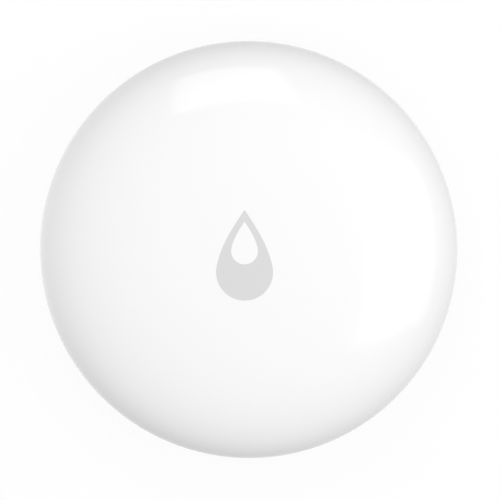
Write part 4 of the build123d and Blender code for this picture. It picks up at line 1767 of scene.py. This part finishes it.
@dataclass
class PressSwitch:
    """Press switch under the crown, with the light guide that works it."""

    shop: Workshop
    plate_top: float = 10.2
    rivet: Points = ((0.0, 0.14), (0.16, 0.12), (0.28, 0.06), (0.32, -0.05), (0.0, -0.05))
    rivet_spread: float = 2.1
    rivet_steps: int = 20
    lead: Points = (
        (2.5, 0.55), (2.75, 0.55), (2.85, 0.2), (3.5, 0.18), (3.5, 0.02), (2.62, 0.02), (2.5, 0.2)
    )
    lead_width: float = 0.7
    lead_spread: float = 1.75
    disc_low: float = 9.05
    disc_rise: float = 0.33
    disc_radius: float = 1.9
    disc_sheet: float = 0.08
    disc_foot: float = 0.2
    disc_steps: int = 64
    disc_spans: int = 10

    def build(self) -> None:
        """Dresses the switch and the guide, and builds the switch's rivets, leads and snap disc."""
        shop, away = self.shop, self.rivet_spread
        shop.dress(BLACK_PLASTIC, "switch_body")
        shop.dress(SHEET_STEEL, "switch_plate")
        shop.dress(NATURAL_STEM, "switch_stem")
        shop.dress(CLEAR_GUIDE, "light_guide")
        corners = flat_spots([(x, y) for x in (-away, away) for y in (-away, away)], self.plate_top)
        settle(shop.turn("switch_rivets", self.rivet, BLACK_PLASTIC, self.rivet_steps, corners), Body.HOUSING)
        rows = (-self.lead_spread, self.lead_spread)
        sides = [(0.0, y, BOARD_TOP, turn) for y in rows for turn in even_angles(2)]
        settle(shop.fins("switch_leads", self.lead, self.lead_width, sides, TINNED), Body.HOUSING)
        self.build_disc()

    def build_disc(self) -> None:
        """Builds the snap disc, a thin spherical cap on a flat foot, and gives it its own copy of its mesh.
        """
        low, rise, reach = self.disc_low, self.disc_rise, self.disc_radius
        outer = cap_points(reach, rise, low + rise, self.disc_spans)
        rise_inside = rise - self.disc_sheet
        inner = cap_points(reach - self.disc_foot, rise_inside, low + rise_inside, self.disc_spans)
        profile = [*outer, *reversed(inner)]
        disc = self.shop.turn("snap_disc", profile, SHEET_STEEL, self.disc_steps)
        settle(disc, Body.HOUSING, ["switch_dome"])
        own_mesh(disc)


@dataclass(frozen=True)
class Softbox:
    """Rectangular lamp: bearing from +X, height above the horizon, size of its face and power in watts."""

    bearing: float
    rise: float
    size: Pair
    power: float
    distance: float = 260.0

    def build(self, name: str) -> None:
        """Makes the lamp, which looks at the object; one below the horizon doesn't show in the gloss.

        Args:
            name: Name of the lamp.
        """
        data = bpy.data.lights.new(name, "AREA")
        data.shape, data.energy = "RECTANGLE", self.power
        data.size, data.size_y = (side * MM for side in self.size)
        reach, up = around(1.0, self.rise)
        away = Vector((*around(reach, self.bearing), up))
        lamp = bpy.data.objects.new(name, data)
        lamp.visible_glossy = self.rise > 0
        place = Matrix.Translation(away * self.distance * MM)
        lamp.matrix_world = place @ away.to_track_quat("Z", "Y").to_matrix().to_4x4()
        bpy.context.scene.collection.objects.link(lamp)


@dataclass
class Studio:
    """Camera, floor and light of the photograph."""

    lean_right: float = 2.7
    lean_up: float = 3.7
    target: Point3 = (0.0, 0.0, 5.5)
    lens: float = 150.0
    sensor: float = 36.0
    frame_width: float = 60.1
    shift: Pair = (0.0032, -0.0001)
    clip: Pair = (10.0, 10000.0)
    floor_radius: float = 700.0
    floor_sides: int = 48
    floor_drop: float = 0.03
    floor_grey: float = 0.95
    shadow_strength: float = 0.12
    shadow_reach: Pair = (40.0, 120.0)
    light_even: float = 0.321
    light_up: float = 0.391
    light_poles: float = 0.423
    light_sides: float = 0.151
    lamps: tuple[Softbox, ...] = (
        Softbox(99.0, 41.5, (142.0, 145.0), 0.088),
        Softbox(0.0, 45.0, (240.0, 240.0), 0.189),
        Softbox(180.0, -35.0, (150.0, 150.0), 0.26),
        Softbox(90.0, -35.0, (150.0, 150.0), 0.051),
        Softbox(0.0, -35.0, (150.0, 150.0), 0.077),
        Softbox(215.0, -60.0, (90.0, 90.0), 0.09),
    )

    def build(self) -> None:
        """Sets the camera, the floor, the world's light and the lamps."""
        bpy.context.scene.view_settings.view_transform = "Standard"
        self.camera()
        self.floor()
        self.world()
        for number, lamp in enumerate(self.lamps):
            lamp.build(f"softbox_{number}")

    def camera(self) -> None:
        """Makes the camera, almost straight above and leaning a little to the right and to the sign's top."""
        data = bpy.data.cameras.new("camera")
        data.lens, data.sensor_width = self.lens, self.sensor
        data.shift_x, data.shift_y = self.shift
        data.clip_start, data.clip_end = (reach * MM for reach in self.clip)
        right, up = (math.tan(math.radians(lean)) for lean in (self.lean_right, self.lean_up))
        back = Vector((right, up, 1.0)).normalized()
        side = Vector((0, 1, 0)).cross(back).normalized()
        distance = self.frame_width * self.lens / self.sensor
        turn = Matrix((side, back.cross(side), back)).transposed().to_4x4()
        camera = bpy.data.objects.new("camera", data)
        camera.matrix_world = Matrix.Translation((Vector(self.target) + back * distance) * MM) @ turn
        bpy.context.scene.collection.objects.link(camera)
        bpy.context.scene.camera = camera

    def floor(self) -> None:
        """Makes the round floor just under the object, for the picture alone."""
        sides = self.floor_sides
        rim = disc_outline((0.0, 0.0), self.floor_radius, sides)
        corners = [(x, y, -self.floor_drop) for x, y in [(0.0, 0.0), *rim]]
        floor = raw_object("floor", corners, faces=[(0, k + 1, (k + 1) % sides + 1) for k in range(sides)])
        floor.data.materials.append(self.floor_material())

    def floor_material(self) -> bpy.types.Material:
        """Makes the pale surface that shows only from above and keeps the object's soft shadow near it.

        Returns:
            The material.
        """
        material = bpy.data.materials.new("pale_floor")
        material.use_nodes = True
        nodes = material.node_tree.nodes
        nodes.remove(nodes["Principled BSDF"])
        work = NodeWork(material.node_tree)
        x, y, _ = work.split(work.add("ShaderNodeTexCoord", output="Object"))
        near, far = (reach * MM for reach in self.shadow_reach)
        limits = {"From Min": near, "From Max": far, "To Min": self.shadow_strength, "To Max": 0.0}
        shade = work.add("ShaderNodeMapRange", {"Value": work.away(x, y)} | limits)
        grey = (self.floor_grey,) * 3
        lit = work.add("ShaderNodeBsdfDiffuse", {"Color": (*grey, 1.0)})
        glow = work.add("ShaderNodeEmission", {"Color": WHITE, "Strength": 1.0})
        seen = work.add("ShaderNodeMixShader", {0: shade, 1: glow, 2: lit})
        front = 1.0 - work.add("ShaderNodeNewGeometry", output="Backfacing")
        looked_at = work.is_ray("Is Camera Ray", "Is Transmission Ray")
        clear = work.add("ShaderNodeBsdfTransparent")
        shown = work.add("ShaderNodeMixShader", {0: front * looked_at, 1: clear, 2: seen})
        work.feed(nodes["Material Output"].inputs["Surface"], shown)
        return material

    def world(self) -> None:
        """Sets soft light from all round, stronger from above and from the sides, and a white surround."""
        world = bpy.data.worlds.new("studio")
        world.use_nodes = True
        bpy.context.scene.world = world
        work = NodeWork(world.node_tree)
        x, y, z = work.split(work.add("ShaderNodeTexCoord", output="Generated"))
        level = z * self.light_up + self.light_even
        level = level + z * z * self.light_poles
        level = level + (x * x - y * y) * self.light_sides
        seen = work.is_ray("Is Camera Ray", "Is Glossy Ray", "Is Transmission Ray")
        strength = work.add("ShaderNodeMix", {"Factor": seen, "A": level, "B": 1.0}, data_type="FLOAT")
        background = world.node_tree.nodes["Background"].inputs
        work.feed(background["Color"], WHITE)
        work.feed(background["Strength"], strength)


def main() -> None:
    """Builds the sub-assemblies in order, then the studio."""
    logging.basicConfig(level=logging.INFO, format="%(message)s")
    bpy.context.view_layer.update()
    shop = Workshop()
    for part in (TopShell, Housing, Probes, BatteryCover, CoinCell, Board, PressSwitch):
        part(shop).build()
        LOG.info("built %s", part.__name__)
    Studio().build()
    bpy.context.view_layer.update()


if __name__ == "__main__":
    main()
